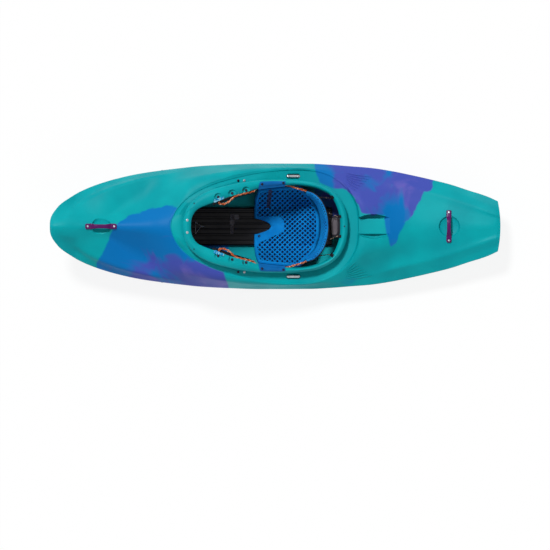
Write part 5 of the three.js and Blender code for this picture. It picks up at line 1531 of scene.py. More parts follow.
def seat_sheet(name, low, high, columns, rows, low_rows, edge_round, sink=None):
    """A sheet between two depths under the seat's face, with rounded edges."""
    across = np.linspace(-1, 1, columns + 1)
    # columns crowd where the bowl is steep, so faces stay even
    across = np.sign(across) * np.abs(across) ** COLUMN_CROWDING
    a, b = np.meshgrid(np.linspace(0, 1, rows + 1), across)
    points, normals = seat_points(a, b), seat_normals(a, b)
    along_step = np.linalg.norm(np.diff(points, axis=1), axis=-1)
    across_step = np.linalg.norm(np.diff(points, axis=0), axis=-1)
    from_front = np.hstack([np.zeros((columns + 1, 1)), np.cumsum(along_step, axis=1)])
    from_left = np.vstack([np.zeros((1, rows + 1)), np.cumsum(across_step, axis=0)])
    from_rear, from_right = from_front[:, -1:] - from_front, from_left[-1:] - from_left
    inside = np.minimum.reduce([from_front, from_rear, from_left, from_right])
    near = np.clip(edge_round - inside, 0, edge_round)
    drop_by = edge_round - np.sqrt(np.maximum(edge_round**2 - near**2, 0))
    depth = high + drop_by
    hole = np.zeros_like(depth)
    if sink is not None:
        hole = sink(points, inside)
        depth = depth + hole * HOLE_DEPTH
    upper = points - normals * depth[..., None]
    picks = np.linspace(0, rows, low_rows + 1).round().astype(int)
    lower = points[:, picks] - normals[:, picks] * low
    rings = [np.vstack([up, down[::-1]]) for up, down in zip(upper, lower)]
    made = skin(name, rings)
    flags = np.concatenate([np.concatenate([h, np.zeros(low_rows + 1)]) for h in hole])
    store(made.data, "hole", flags)
    return made


# %% Holes of the liner
HOLE_PITCH_X, HOLE_PITCH_Y = 13.3, 12.2
HOLE_HALF, HOLE_LEAN = 8.2, 0.12
HOLE_EDGE, HOLE_SLOPE = 1.15, 0.35
HOLE_MARGIN, HOLE_FADE = 12, 2
BARE_TO = 50
BARE_RIGHT, BARE_LEFT, BARE_SLOPE = 52, 27, 0.46
BARE_BACK_FROM, BARE_BACK_MOST, BARE_BACK_SLOPE = 25, 40, 0.8


def diamond_field(u, v):
    """1 in the middle of each punched hole, 0 between them, on a staggered grid."""
    best = np.zeros_like(u)
    for shift in (0, 1):
        cu = (np.round((u / HOLE_PITCH_X - shift) / 2) * 2 + shift) * HOLE_PITCH_X
        cv = (np.round((v / HOLE_PITCH_Y - shift) / 2) * 2 + shift) * HOLE_PITCH_Y
        du, dv = u - cu, v - cv
        size = (np.abs(du - HOLE_LEAN * dv) + np.abs(dv)) / HOLE_HALF
        best = np.maximum(best, short_of(size, HOLE_EDGE, HOLE_SLOPE))
    return best


def liner_holes(points, inside):
    """The holes of the liner. Its edges and the middle of its front stay bare."""
    x, y = points[..., 0], points[..., 1]
    beside = np.where(y > 0, y < BARE_RIGHT, -y < BARE_LEFT + BARE_SLOPE * (BARE_TO - x))
    back = np.clip(y - BARE_BACK_FROM, 0, BARE_BACK_MOST) * BARE_BACK_SLOPE
    bare = beside & (x < BARE_TO - back)
    return diamond_field(x, y) * (past(inside, HOLE_MARGIN, HOLE_FADE) * np.where(bare, 0, 1))


LINER_COLUMNS, LINER_ROWS, LINER_LOW_ROWS, LINER_ROUND = 340, 130, 26, 5
# where the strip of painted shadow lies on the liner
SHADOW_STRIP_X, SHADOW_STRIP_HALF, SHADOW_STRIP_SPAN, SHADOW_STRIP_LEAN = -37, 13, (97, 194), 0.134
SHADOW_STRIP_EDGE = 2.5

liner_grid = (LINER_COLUMNS, LINER_ROWS, LINER_LOW_ROWS)
liner = seat_sheet("seat_liner", PAD_THICK, 0, *liner_grid, LINER_ROUND, liner_holes)
smooth(liner, 60)
# a dark strip of painted shadow lies across its starboard side
liner_x, liner_y, _ = points_of(liner.data).T
off_strip = np.abs(liner_x - SHADOW_STRIP_X - (liner_y - SHADOW_STRIP_SPAN[0]) * SHADOW_STRIP_LEAN)
strip = np.clip(1 - off_strip / SHADOW_STRIP_HALF, 0, 1)
strip *= (liner_y > SHADOW_STRIP_SPAN[0]) & (liner_y < SHADOW_STRIP_SPAN[1])
store(liner.data, "shadow_strip", np.clip(strip * SHADOW_STRIP_EDGE, 0, 1))
dress(liner, liner_look, "seat_pad")
print("liner:", len(liner.data.polygons), "faces")

# %% [markdown]
# The liner lies in a moulded pan that hangs from two plates on the rim. The plates have round
# corners and sit over the rim's crown, so each is a strip that follows the rim.

# %% Seat pan
HANGER = {"front": 0.465, "rear": 0.524, "thick": 5, "drop": 59}
SEAT_GAP = 0.7
PLATE_ROUND = 9
HANGER_STEPS = 48


def rim_strip(name, first, last, steps, side, profile_of):
    """A strip along the rim. The profile gives insets from the lip and rises above it."""
    rings = []
    for turn in np.linspace(first, last, steps + 1):
        at = rim_frame(turn if side > 0 else 1 - turn)
        rings.append(np.array([on_rim(at, inset, rise) for inset, rise in profile_of(at[2], turn)]))
    return skin(name, rings)


def hanger(side):
    first = rim_turn(along(HANGER["front"]), 0.5)
    last = rim_turn(along(HANGER["rear"]), 0.5)
    length = np.linalg.norm(rim_frame(first)[0] - rim_frame(last)[0])

    def profile_of(width, turn):
        run = (turn - first) / (last - first) * length
        end = min(run, length - run)
        cut = PLATE_ROUND - math.sqrt(max(PLATE_ROUND**2 - max(PLATE_ROUND - end, 0) ** 2, 0))
        insets = np.linspace(8 + cut, width - 3, 9)
        rises = [rim_top_rise(width, inset) for inset in insets]
        under = [(inset, rise + 0.1) for inset, rise in zip(insets, rises)][::-1]
        over = [(inset, rise + SEAT_GAP + HANGER["thick"]) for inset, rise in zip(insets, rises)]
        # the outer edge of the plate is rounded over
        over[0] = (over[0][0], over[0][1] - 1.8)
        over.insert(1, (over[0][0] + 0.9, over[0][1] + 1.5))
        near, far = width + LINING_GAP, width + LINING_GAP + HANGER["thick"]
        shoulder = (near + HANGER["thick"] * 0.7, 18 + SEAT_GAP)
        drop = [(far, 13), (far, -HANGER["drop"]), (near, -HANGER["drop"]), (near, 14)]
        return [*over, shoulder, *drop, *under]

    return rim_strip("hanger", first, last, HANGER_STEPS, side, profile_of)


PAN_COLUMNS, PAN_ROWS, PAN_ROUND = 110, 44, 2
PAN_BLUE, PAN_PALE = srgb(0, 100, 172), srgb(40, 130, 195)

pan_top = PAD_THICK + LAYER_GAP
pan_grid = (PAN_COLUMNS, PAN_ROWS, PAN_ROWS)
pan = seat_sheet("seat_frame", pan_top + PAN_THICK, pan_top, *pan_grid, PAN_ROUND)
join(pan, [hanger(1), hanger(-1)])
smooth(pan, 40)
pan_look = moulded("pan_plastic", PAN_BLUE, PAN_PALE, 0.48, wave=20, scuffs=0.3)
dress(pan, pan_look, "seat_pan")

# %% [markdown]
# ## Backband
# A padded belt stands behind the seat: a stiff black band outside, thick foam inside with a bound
# edge. Both are swept along one curve that bends round the paddler's back.

# %% Backband
# share of its depth, of its half width, of its rise: top edge, low edge
BAND = [
    (0, 1, 0.677, 0.355), (0.363, 0.887, 0.871, 0.226), (0.706, 0.672, 1, 0.129),
    (0.922, 0.376, 0.935, 0.052), (1, 0, 0.806, 0),
]
BAND_END_X, BAND_DEPTH, BAND_HALF = along(0.57), 102, 0.5552 * HALF_BEAM
BAND_LOW, BAND_RISE = 0.4 * HEIGHT, 155
BAND_PAD, BAND_SHELL, BAND_RUN = 18, 5, 520
BAND_STEPS = 240
PIT_PITCH, PIT_RADIUS, PIT_DEPTH, PIT_SLOPE = 15, 4.4, 3.5, 1.4
PIT_SIDE_FROM, PIT_END = 0.2, 16
BAND_LEAN = 13
BAND_END_ROUND, BAND_END_THIN, BAND_END_LOW = 14, 0.85, 0.3

band_half = [(BAND_END_X + row[0] * BAND_DEPTH, row[1] * BAND_HALF) for row in BAND]
edge_half = [(BAND_LOW + row[2] * BAND_RISE, BAND_LOW + row[3] * BAND_RISE) for row in BAND]
band_path = Spline(band_half + [(x, -y) for x, y in band_half[:-1][::-1]])
band_edges = Spline(edge_half + edge_half[:-1][::-1])


def band_place(t):
    """A place on the backband: point, way outward, top and low edge."""
    run = band_path.at(min(t + 1e-4, 1)) - band_path.at(max(t - 1e-4, 0))
    run /= np.linalg.norm(run)
    return band_path.at(t), np.array([-run[1], run[0]]), *band_edges.at(t)


def band_point(t, outward, share):
    """A place on the band, which leans back towards its top in the middle."""
    at, out, top, low = band_place(t)
    lean = BAND_LEAN * share * math.sin(math.pi * t) ** 0.5
    return np.array([*(at + out * (outward + lean)), low + (top - low) * share])


def pad_thickness(t):
    return BAND_PAD * (0.5 + 0.5 * math.sin(math.pi * t) ** 0.5)


# the cushion's outline: share of its thickness inward, share of its height
PAD_OUTLINE = [
    (0, 0.03), (0, 0.97), (0.25, 0.998), (0.5, 0.99), (0.8, 0.94), (1.1, 0.82), (1.4, 0.65),
    (1.62, 0.47), (1.7, 0.3), (1.62, 0.14), (1.3, 0.04), (0.8, 0), (0.3, 0.003),
]
PAD_PROFILE = Spline(PAD_OUTLINE).many(88)


def pad_ring(t):
    """One ring of the cushion, with its pits, and how far each point lies in a pit."""
    end = min(t, 1 - t) * BAND_RUN
    close = 1 - math.sqrt(max(1 - max(1 - end / BAND_END_ROUND, 0) ** 2, 0))
    _, _, top, low = band_place(t)
    u, v = t * BAND_RUN / PIT_PITCH, PAD_PROFILE[:, 1] * (top - low) / PIT_PITCH
    row = np.round(v)
    shift = (row % 2) * 0.5
    away = np.hypot(u - shift - np.round(u - shift), v - row) * PIT_PITCH
    pit = short_of(away, PIT_RADIUS, PIT_SLOPE)
    pit = pit * (PAD_PROFILE[:, 0] > PIT_SIDE_FROM) * (end > PIT_END)
    thickness = pad_thickness(t) * (1 - BAND_END_THIN * close)
    inward = PAD_PROFILE[:, 0] * thickness - pit * PIT_DEPTH
    share = 0.5 + (PAD_PROFILE[:, 1] - 0.5) * (1 - BAND_END_LOW * close)
    return np.array([band_point(t, -reach, up) for reach, up in zip(inward, share)]), pit


ts = np.linspace(0, 1, BAND_STEPS + 1)
pad_rings = [pad_ring(t) for t in ts]
band_pad = skin("backband_cushion", [ring for ring, _ in pad_rings])
store(band_pad.data, "hole", np.concatenate([pit for _, pit in pad_rings]))
smooth(band_pad, 60)
dress(band_pad, band_look, "backband_pad", "backband")

# %% Stiffener of the backband
STIFF_LOW, STIFF_END_LOW, STIFF_END_ROUND = 0.06, 0.25, 20
BLACK, BLACK_PALE = srgb(24, 25, 29), srgb(92, 90, 96)


def stiffener_ring(t):
    end = max(1 - min(t, 1 - t) * BAND_RUN / STIFF_END_ROUND, 0)
    low = STIFF_LOW + STIFF_END_LOW * end**2
    near, far = LAYER_GAP, LAYER_GAP + BAND_SHELL
    profile = [(near, low), (far - 1, low), (far, low + 0.02)]
    profile += [(far, 0.98 - low), (far - 1, 1 - low), (near, 1 - low)]
    return [band_point(t, outward, up) for outward, up in profile]


black_look = moulded("black_plastic", BLACK, BLACK_PALE, 0.5, wave=16, scuffs=0.35)
band_shell = skin("backband_stiffener", [stiffener_ring(t) for t in ts[::2]])
smooth(band_shell, 40)
dress(band_shell, black_look, "backband_shell", "backband")

# %% [markdown]
# Cords and piping are tubes along a line. A laid cord has three strands, so its outline is a circle
# with three hollows that turn as the cord runs.

# %% Tubes


ASKEW = (0.1, 0.2, 1)


def line_frame(points):
    """Points of a line, the way it runs at each and the length up to each."""
    points = np.array(points, float)
    run = np.gradient(points, axis=0)
    run /= np.linalg.norm(run, axis=1)[:, None]
    steps = np.linalg.norm(np.diff(points, axis=0), axis=1)
    return points, run, np.concatenate([[0], np.cumsum(steps)])


def tube(name, points, radius, sides=10, twist=0, hollow=0):
    """A tube along points. A hollow above zero gives it the strands of a laid cord."""
    points, run, lengths = line_frame(points)
    turns = full_turn(sides)
    beside = np.cross(run[0], ASKEW)
    rings = []
    for point, ahead, length in zip(points, run, lengths):
        beside = beside - ahead * (beside @ ahead)
        beside /= np.linalg.norm(beside)
        above = np.cross(beside, ahead)
        reach = radius * (1 - hollow * (0.5 - 0.5 * np.cos(3 * turns + twist * length)))
        wide, high = np.cos(turns) * reach, np.sin(turns) * reach
        rings.append(point + np.outer(wide, beside) + np.outer(high, above))
    return skin(name, rings)


PIPING_RADIUS, PIPING_INSET, PIPING_END = 1.6, -0.32, 0.012

edge_look = foam("edge_binding", srgb(40, 140, 200), srgb(20, 110, 176), srgb(110, 180, 220))
bindings = []
for share in (0, 1):
    places = np.linspace(PIPING_END, 1 - PIPING_END, BAND_STEPS // 2)
    edge_line = [band_point(t, PIPING_INSET * pad_thickness(t), share) for t in places]
    bindings.append(tube("binding", edge_line, PIPING_RADIUS))
binding = join(bindings[0], bindings[1:])
binding.name = "backband_binding"
smooth(binding, 60)
dress(binding, edge_look, body="backband")

# %% [markdown]
# ## Screws and bars
# Every fixing is a domed button head with a six-sided socket, so it catches the light as a small
# crescent.

# %% Screws
HEAD_GAP = 0.7
HEAD_SIDES = 24
HEAD_ROWS = ((1, 0), (1, 0.35), (0.95, 0.62), (0.82, 0.86), (0.62, 0.98), (0.5, 1))
SHANK_SHARE, SOCKET_SHARE, SOCKET_TOP, SOCKET_FLOOR = 0.5, 0.46, 0.97, 0.4

steel_look = metal("screw_steel", srgb(168, 172, 178), 0.34)
bar_look = metal("bar_steel", srgb(176, 178, 182), 0.26)
dark_steel = metal("dark_steel", srgb(44, 40, 56), 0.42)


def button_head(name, spot, up, radius, height, sunk=0, shank=0):
    """A domed head with a hexagonal socket, on an optional length of shank."""
    basis = basis_at(spot, up)
    low = HEAD_GAP - sunk
    rows = [(SHANK_SHARE, low - shank), (SHANK_SHARE, low)] if shank else []
    rows += [(share, low + height * rise) for share, rise in HEAD_ROWS]
    rings = [circle(radius * share, z, HEAD_SIDES) for share, z in rows]
    # a hexagon, as its reach at each angle
    sixth = math.pi / 3
    off_corner = (full_turn(HEAD_SIDES) + sixth / 2) % sixth - sixth / 2
    hexagon = SOCKET_SHARE * radius * math.cos(sixth / 2) / np.cos(off_corner)
    for rise in (SOCKET_TOP, SOCKET_FLOOR):
        rings.append(circle(hexagon, low + height * rise, HEAD_SIDES))
    return smooth(skin(name, [placed(ring, basis) for ring in rings]), 40)


# %% Where the screws stand
UPRIGHT = Vector((0, 0, 1))
SEAT_BOLTS, SEAT_BOLT_INSET, PLATE_LIFT = (0.4704, 0.518), 0.46, 5.7
LIP_BOLTS, LIP_BOLT_SIDE = (0.4183, 0.4317), 243
RIVET_AT = 0.3054
RAIL_BOLTS = ((0.25, 0.349), (0.281, 0.326))
SEAT_FRONT_BOLT = (0.06, -0.29)
HEAD_RADIUS = 7


def side_spot(x, z):
    """A place on the starboard side between chine and widest line, and the way it faces."""
    corners = section_corners(share_at(x))
    low, high = corners[2], corners[3]
    t = (z - low[1]) / (high[1] - low[1])
    y = low[0] + (high[0] - low[0]) * t
    lean = Vector((0, high[1] - low[1], low[0] - high[0])).normalized()
    return Vector((x, y, z)), lean


for side, word in SIDES:
    for i, share in enumerate(SEAT_BOLTS):
        spot, up = rim_spot(along(share), side, SEAT_BOLT_INSET)
        spot += up * PLATE_LIFT
        head = button_head(f"seat_plate_bolt_{word}_{i}", spot, up, HEAD_RADIUS, 3)
        dress(head, dark_steel, f"seat_bolt_{word}_{i + 1}")
    for i, (share, inset) in enumerate(THIGH_BOLTS):
        spot, _ = rim_spot(along(share), side, inset)
        name = f"brace_bolt_{word}_{i}"
        head = button_head(name, spot, UPRIGHT, HEAD_RADIUS, 3.6, sunk=6.4, shank=3)
        dress(head, dark_steel, f"thigh_bolt_{word}_{i + 1}")
    for i, share in enumerate(LIP_BOLTS):
        spot, up = gutter_spot(along(share), side * LIP_BOLT_SIDE)
        head = button_head(f"gutter_bolt_{word}_{i}", spot, up, HEAD_RADIUS, 3)
        dress(head, steel_look if i else dark_steel, f"lip_bolt_{word}_{i + 1}")
    spot, up = rim_spot(along(RIVET_AT), side, 0.5)
    rivet = button_head(f"rim_rivet_{word}", spot, up, HEAD_RADIUS, 2.4)
    dress(rivet, steel_look, f"front_rivet_{word}")
    for i, (share, height) in enumerate(RAIL_BOLTS):
        spot, up = side_spot(along(share), height * HEIGHT)
        spot.y, up.y = side * spot.y, side * up.y
        head = button_head(f"side_bolt_{word}_{i}", spot, up, 9, 3.5, shank=16)
        dress(head, steel_look, f"rail_bolt_{word}_{i + 1}")

for i, (spot, up) in enumerate(plug_spots):
    plug = button_head(f"rim_plug_{i + 1}", spot, up, PLUG_RADIUS - 0.2, 1.6, sunk=3.2)
    dress(plug, dark_steel)

front_spot = Vector(seat_points(*SEAT_FRONT_BOLT))
front_up = Vector(seat_normals(*SEAT_FRONT_BOLT))
head = button_head("liner_bolt", front_spot, front_up, HEAD_RADIUS, 3, sunk=2)
dress(head, dark_steel, "seat_front_bolt")

# %% [markdown]
# A rescue bar is a polished strap of steel over its recess, held down by a bolt at each end.

# %% Rescue bars
BAR = {"length": 76.6, "half": 8.5, "thick": 4.5, "post": 25.3, "foot": -15, "post_radius": 4}
BAR_HEAD = {"radius": 4.6, "height": 1.6, "sunk": 1.2}


def bar_piece(side, word):
    """A bar with round ends, its two posts and the heads on them."""
    basis = basis_at(*gutter_spot(BAR_AT[0], side * BAR_AT[1]))
    rings = []
    for t in np.linspace(-1, 1, 33):
        x = t * BAR["length"] / 2
        end = (BAR["length"] / 2 - abs(x)) / BAR["half"]
        full = math.sqrt(max(1 - max(1 - end, 0) ** 2, 0.01))
        half, thick = BAR["half"] * full, BAR["thick"] * full
        ring = [(x, math.cos(a) * half, math.sin(a) * thick) for a in full_turn(16)]
        rings.append(placed(ring, basis))
    rod = skin(f"rescue_rod_{word}", rings)
    others = []
    for x in (-BAR["post"], BAR["post"]):
        post = [circle(BAR["post_radius"], z, 20, x=x) for z in (BAR["foot"], 0)]
        others.append(skin("post", [placed(ring, basis) for ring in post]))
        spot = basis @ Vector((x, 0, BAR["thick"] - BAR_HEAD["sunk"]))
        up = basis.to_3x3() @ UPRIGHT
        others.append(button_head("bar_head", spot, up, BAR_HEAD["radius"], BAR_HEAD["height"]))
    return join(rod, others)


for side, word in SIDES:
    bar = smooth(bar_piece(side, word), 40)
    dress(bar, bar_look, f"rescue_bar_{word}")

# %% [markdown]
# ## Grab handles
# A handle is flat and wide where it is screwed down, and arches up to a grip that is narrower.

# %% Handles
# share of the run, of the width, of the arch
HANDLE_ROWS = [
    (0, 0.62, 0), (0.015, 0.86, 0), (0.04, 1, 0), (0.18, 1, 0), (0.3, 0.8, 0.85), (0.4, 0.75, 1),
    (0.6, 0.75, 1), (0.7, 0.8, 0.85), (0.82, 1, 0), (0.96, 1, 0), (0.985, 0.86, 0), (1, 0.62, 0),
]
HANDLE_THICK, HANDLE_SINK, HANDLE_ARCH, HANDLE_SIDES, HANDLE_SQUARE = 8, 4, 12, 20, 0.55
SCREW_INSET, HANDLE_SCREW = 13, 6
HANDLES = {
    "bow": {"at": -926.4, "length": 167, "width": 29, "screws": ("front", "rear")},
    "stern": {"at": 925.4, "length": 172, "width": 27, "screws": ("left", "right")},
}
PLUM, PLUM_PALE = srgb(86, 16, 88), srgb(160, 80, 150)
handle_look = moulded("handle_plastic", PLUM, PLUM_PALE, 0.34, wave=30, scuffs=0.5)
handle_width, handle_lift = (smooth_line(HANDLE_ROWS, column) for column in (1, 2))


def squared(turn):
    """A sine or cosine pushed outward, which turns a circle into a rounded bar."""
    return math.copysign(abs(turn) ** HANDLE_SQUARE, turn)


def handle_piece(name, form):
    rings = []
    for t in np.linspace(0, 1, 81):
        width, lift = form["width"] / 2 * handle_width(t), HANDLE_ARCH * handle_lift(t)
        run = (t - 0.5) * form["length"]
        x, y = (form["at"] + run, 0) if name == "bow" else (form["at"], run)
        low = deck_height(x, y) + lift - HANDLE_SINK * (1 - lift / HANDLE_ARCH)
        high = deck_height(x, y) + lift + HANDLE_THICK
        ring = []
        for a in (2 * math.pi * k / HANDLE_SIDES for k in range(HANDLE_SIDES)):
            across = squared(math.cos(a)) * width
            z = (low + high) / 2 + squared(math.sin(a)) * (high - low) / 2
            ring.append((x, y + across, z) if name == "bow" else (x - across, y, z))
        rings.append(ring)
    return smooth(skin(f"{name}_grab_handle", rings), 50)


for name, form in HANDLES.items():
    dress(handle_piece(name, form), handle_look, f"{name}_handle")
    for end, label in zip((-1, 1), form["screws"]):
        run = end * (form["length"] / 2 - SCREW_INSET)
        x, y = (form["at"] + run, 0) if name == "bow" else (form["at"], run)
        ahead = (x + 2, 0) if name == "bow" else (x, y + 2)
        slope = (deck_height(*ahead) - deck_height(x, y)) / 2
        up = Vector((-slope, 0, 1) if name == "bow" else (0, -slope, 1)).normalized()
        spot = Vector((x, y, deck_height(x, y))) + up * (HANDLE_THICK - 0.6)
        head = button_head(f"{name}_screw_{label}", spot, up, HANDLE_SCREW, 3)
        dress(head, steel_look, f"{name}_handle_screw_{label}")

# %% [markdown]
# ## Cords, tabs and hooks
# Each tension cord is two strands twisted together. It leaves the backband, dives under the rim and
# comes up again over the thigh pockets, where a webbing tab lies to be pulled.

# %% Tension cords
CORD = [
    (0.5697, 0.5575, 0.5444), (0.5583, 0.5881, 0.5667), (0.5433, 0.6179, 0.5956),
    (0.53, 0.6493, 0.6089), (0.5233, 0.6549, 0.62), (0.5083, 0.6493, 0.6489),
    (0.4833, 0.6373, 0.7022), (0.47, 0.6269, 0.7244), (0.4617, 0.6209, 0.74),
    (0.4567, 0.591, 0.7533), (0.4517, 0.5597, 0.7778), (0.4375, 0.5322, 0.8178),
    (0.4117, 0.4815, 0.8667), (0.3979, 0.394, 0.8711), (0.3875, 0.3582, 0.8844),
    (0.3775, 0.3612, 0.9111), (0.3754, 0.3925, 0.939),
]
STRAND_RADIUS, STRAND_OFFSET, STRAND_TURN = 3.1, 2.9, 0.12
CORD_STEPS = 420


FIBRE_RELIEF = 0.0003


def fibre(name, colour, fleck, flecks, scale=260):
    """Braided fibre: a woven relief and flecks of a second yarn."""
    look, tree, shader = new_look(name, SHEEN)
    weave = place_group(tree, weave_group, Across=1600, Along=1600)
    shade = weave.outputs["Shade"]
    spots = node(tree, "ShaderNodeTexVoronoi", {"Scale": scale})
    link(tree, object_place(tree), spots.inputs["Vector"])
    parts = node(tree, "ShaderNodeSeparateColor")
    link(tree, spots.outputs["Color"], parts.inputs[0])
    is_fleck = ramped(tree, parts.outputs["Red"], 1 - flecks, 1.04 - flecks)
    base = mixed(tree, shade, darker(colour, 0.6), colour)
    link(tree, mixed(tree, is_fleck, base, fleck), shader.inputs["Base Color"])
    link(tree, ramped(tree, shade, 0, 1, 0.85, 0.7), shader.inputs["Roughness"])
    bump(tree, shader, weave.outputs["Height"], FIBRE_RELIEF)
    return look


cord_look = fibre("cord_orange", srgb(205, 92, 40), srgb(232, 196, 168), 0.22)
bungee_look = fibre("bungee_cord", srgb(36, 34, 38), srgb(170, 150, 130), 0.3)
tab_look = fibre("tab_webbing", srgb(24, 150, 205), srgb(150, 218, 240), 0.32, 210)


def strand_pair(name, points):
    """Two strands that wind round one line."""
    points, run, lengths = line_frame(points)
    beside = np.cross(run, (0, 0, 1))
    beside /= np.linalg.norm(beside, axis=1)[:, None]
    above = np.cross(beside, run)
    strands = []
    for phase in (0, math.pi):
        turn = (lengths * STRAND_TURN + phase)[:, None]
        offset = (np.cos(turn) * beside + np.sin(turn) * above) * STRAND_OFFSET
        strands.append(tube(name, points + offset, STRAND_RADIUS, 8))
    return smooth(join(strands[0], strands[1:]), 60)


cord_line = Spline([(along(s), y * HALF_BEAM, z * HEIGHT) for s, y, z in CORD]).many(CORD_STEPS)
for side, word in SIDES:
    cord = strand_pair(f"tension_cord_{word}", cord_line * (1, side, 1))
    dress(cord, cord_look, f"backband_cord_{word}")

# %% Pull tabs
TAB_AT, TAB_INSET, TAB_LENGTH, TAB_WIDTH, TAB_THICK = 0.375, 0.88, 58, 20, 2.4
TAB_GAP, TAB_FOLD, TAB_LEAN = 3, 2.6, 0.12
TAB_OUTLINE = ((-1, -1, 0), (1, -1, 0), (1, 0, 0.6), (1, 1, 0), (-1, 1, 0), (-1, 0, -0.6))


def pull_tab(side, word):
    """A ribbon with soft folds across it, laid along the rim."""
    spot, up = rim_spot(along(TAB_AT), side, TAB_INSET)
    ahead = rim_spot(along(TAB_AT) + 2, side, TAB_INSET)[0] - spot
    basis = basis_at(spot + up * TAB_GAP, up, ahead)
    rings = []
    for t in np.linspace(0, 1, 41):
        x = (t - 0.5) * TAB_LENGTH
        lift = TAB_FOLD * math.sin(math.pi * 3 * t) ** 2
        half = TAB_WIDTH / 2 * (0.72 + 0.28 * math.sin(math.pi * min(t * 2.2, 1)))
        lean = TAB_LEAN * math.sin(math.pi * 2 * t)
        outline = [(way * half + edge, z * TAB_THICK / 2) for way, z, edge in TAB_OUTLINE]
        rings.append(placed([(x, y, lift + y * lean + z) for y, z in outline], basis))
    return smooth(skin(f"tab_{word}", rings), 40)


for side, word in SIDES:
    dress(pull_tab(side, word), tab_look, f"pull_tab_{word}")

# %% [markdown]
# A bungee runs from the backband to its hook on the rear of the rim.

# %% Bungees and hooks
# turn on the rim, share of the backband's run, share of its height
BUNGEES = {"side": (0.4, 0.18, 0.52), "rear": (0.465, 0.37, 0.5)}
BUNGEE_RADIUS, BUNGEE_CLEAR, BUNGEE_END = 2, 0.8, 7.7
HOOK_HALF_TURN, HOOK_ROUND = 0.005, 0.7
# the hook's outline inside the opening: inset past the rim's inner edge, rise
HOOK_OUTLINE = (
    (2, 20.5), (5.9, 18), (6.4, 10), (6.4, -4), (9.5, -7), (8.8, -9.5), (3, -8), (1.4, -5),
    (1.4, 17.4),
)


def bungee_ends(turn, run_share, up_share, side):
    start = band_point(run_share, LAYER_GAP * 2 + BAND_SHELL + BUNGEE_CLEAR, up_share)
    at = rim_frame(turn)
    end = on_rim(at, at[2] + BUNGEE_END, 0)
    return start * (1, side, 1), end * (1, side, 1)


def hook(turn, side):
    def profile_of(width, _):
        back = rim_top_rise(width, width - 9) + 1.4
        over_rim = [(width - 9, back), (width - 9, back + 3)]
        return over_rim + [(width + inset, rise) for inset, rise in HOOK_OUTLINE]

    first, last = turn - HOOK_HALF_TURN, turn + HOOK_HALF_TURN
    made = rim_strip("rim_hook", first, last, 6, side, profile_of)
    return smooth(soften(made, HOOK_ROUND, 2, 40), 40)


for side, word in SIDES:
    for end, (turn, run_share, up_share) in BUNGEES.items():
        dress(hook(turn, side), black_look, f"bungee_hook_{word}_{end}")
        start, stop = bungee_ends(turn, run_share, up_share, side)
        line = [start + (stop - start) * t for t in np.linspace(0, 1, 30)]
        bungee = tube(f"bungee_cord_{word}_{end}", line, BUNGEE_RADIUS, 12, 0.5, 0.2)
        smooth(bungee, 60)
        bungee.data.materials.append(bungee_look)
        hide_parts(f"bungee_{word}_{end}")
        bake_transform(bungee)

# %% [markdown]
# ## Inside the hull
# A black ridged panel covers the floor in front of the seat. On it lie a strap with two buckles and
# a thin cord.

# %% Floor panel
PANEL = {"front": -530, "rear": 301, "half": 101, "top": 32, "under": 14}
PANEL_NOSE, PANEL_NOSE_LEAST, PANEL_EDGE = 30, 0.15, 8
RIDGES = ((0, 13), (29, 12), (62, 13), (91, 9))
RIDGE_EDGE, RIDGE_RISE = 3, 2.6
# the pinkish pale is for scuffs and for painted glints
PANEL_BLACK, PANEL_SCUFF_AND_GLINT = srgb(22, 21, 26), srgb(112, 88, 98)


def panel_height(y):
    """Height of the panel across the boat: seven flat ridges between narrow valleys."""
    ridges = [short_of(abs(abs(y) - centre), half, RIDGE_EDGE) for centre, half in RIDGES]
    ridge = np.max(ridges, axis=0)
    edge = short_of(abs(y), PANEL["half"], PANEL_EDGE)
    valley = 1 - ridge**2 * (3 - 2 * ridge)
    return PANEL["top"] - RIDGE_RISE * valley - RIDGE_RISE * (1 - edge)


across = np.linspace(-1, 1, 181) * PANEL["half"]
panel_rings = []
for x in np.linspace(PANEL["front"], PANEL["rear"], 90):
    rise = keel_height_at(x)
    nose = np.clip((x - PANEL["front"]) / PANEL_NOSE, PANEL_NOSE_LEAST, 1) ** 0.5
    top = [(x, y * nose, rise + panel_height(y)) for y in across]
    panel_rings.append(top + [(x, y * nose, rise + PANEL["under"]) for y in across[::-20]])
# many pinkish streaks on the panel: partly scuffs, partly painted glints
panel_finish = {"wave": 22, "scuffs": 0.8, "sheen": 0.12}
panel_look = moulded("panel_plastic", PANEL_BLACK, PANEL_SCUFF_AND_GLINT, 0.34, **panel_finish)
panel = smooth(skin("floor_cover", panel_rings), 50)
dress(panel, panel_look, "floor_panel")

# %% Straps on the floor panel
STRAP_AT, STRAP_SPAN, STRAP_HALF, STRAP_THICK = -229, (-41, 65), 9, 1.6
STRAP_GAP, BUCKLE_GAP, NET_GAP = 0.4, 0.5, 1.6
BUCKLES = ((-204, 50), (-229, 22))
BUCKLE_HALF, BUCKLE_THICK, BUCKLE_SQUARE = 13, 4, 5
CORD_NET = [
    [(-423, 25), (-397, 2), (-378, 0)],
    [(-423, -39), (-397, -6), (-378, 0)],
    [(-423, 25), (-423, -7), (-423, -39)],
]
NET_RADIUS = 1.8

strap_look = fibre("strap_webbing", srgb(86, 80, 86), srgb(120, 112, 118), 0.3)
net_look = fibre("grey_cord", srgb(170, 166, 170), srgb(205, 200, 204), 0.3)
grey_look = moulded("grey_plastic", srgb(104, 98, 104), srgb(150, 142, 148), 0.45, wave=30)

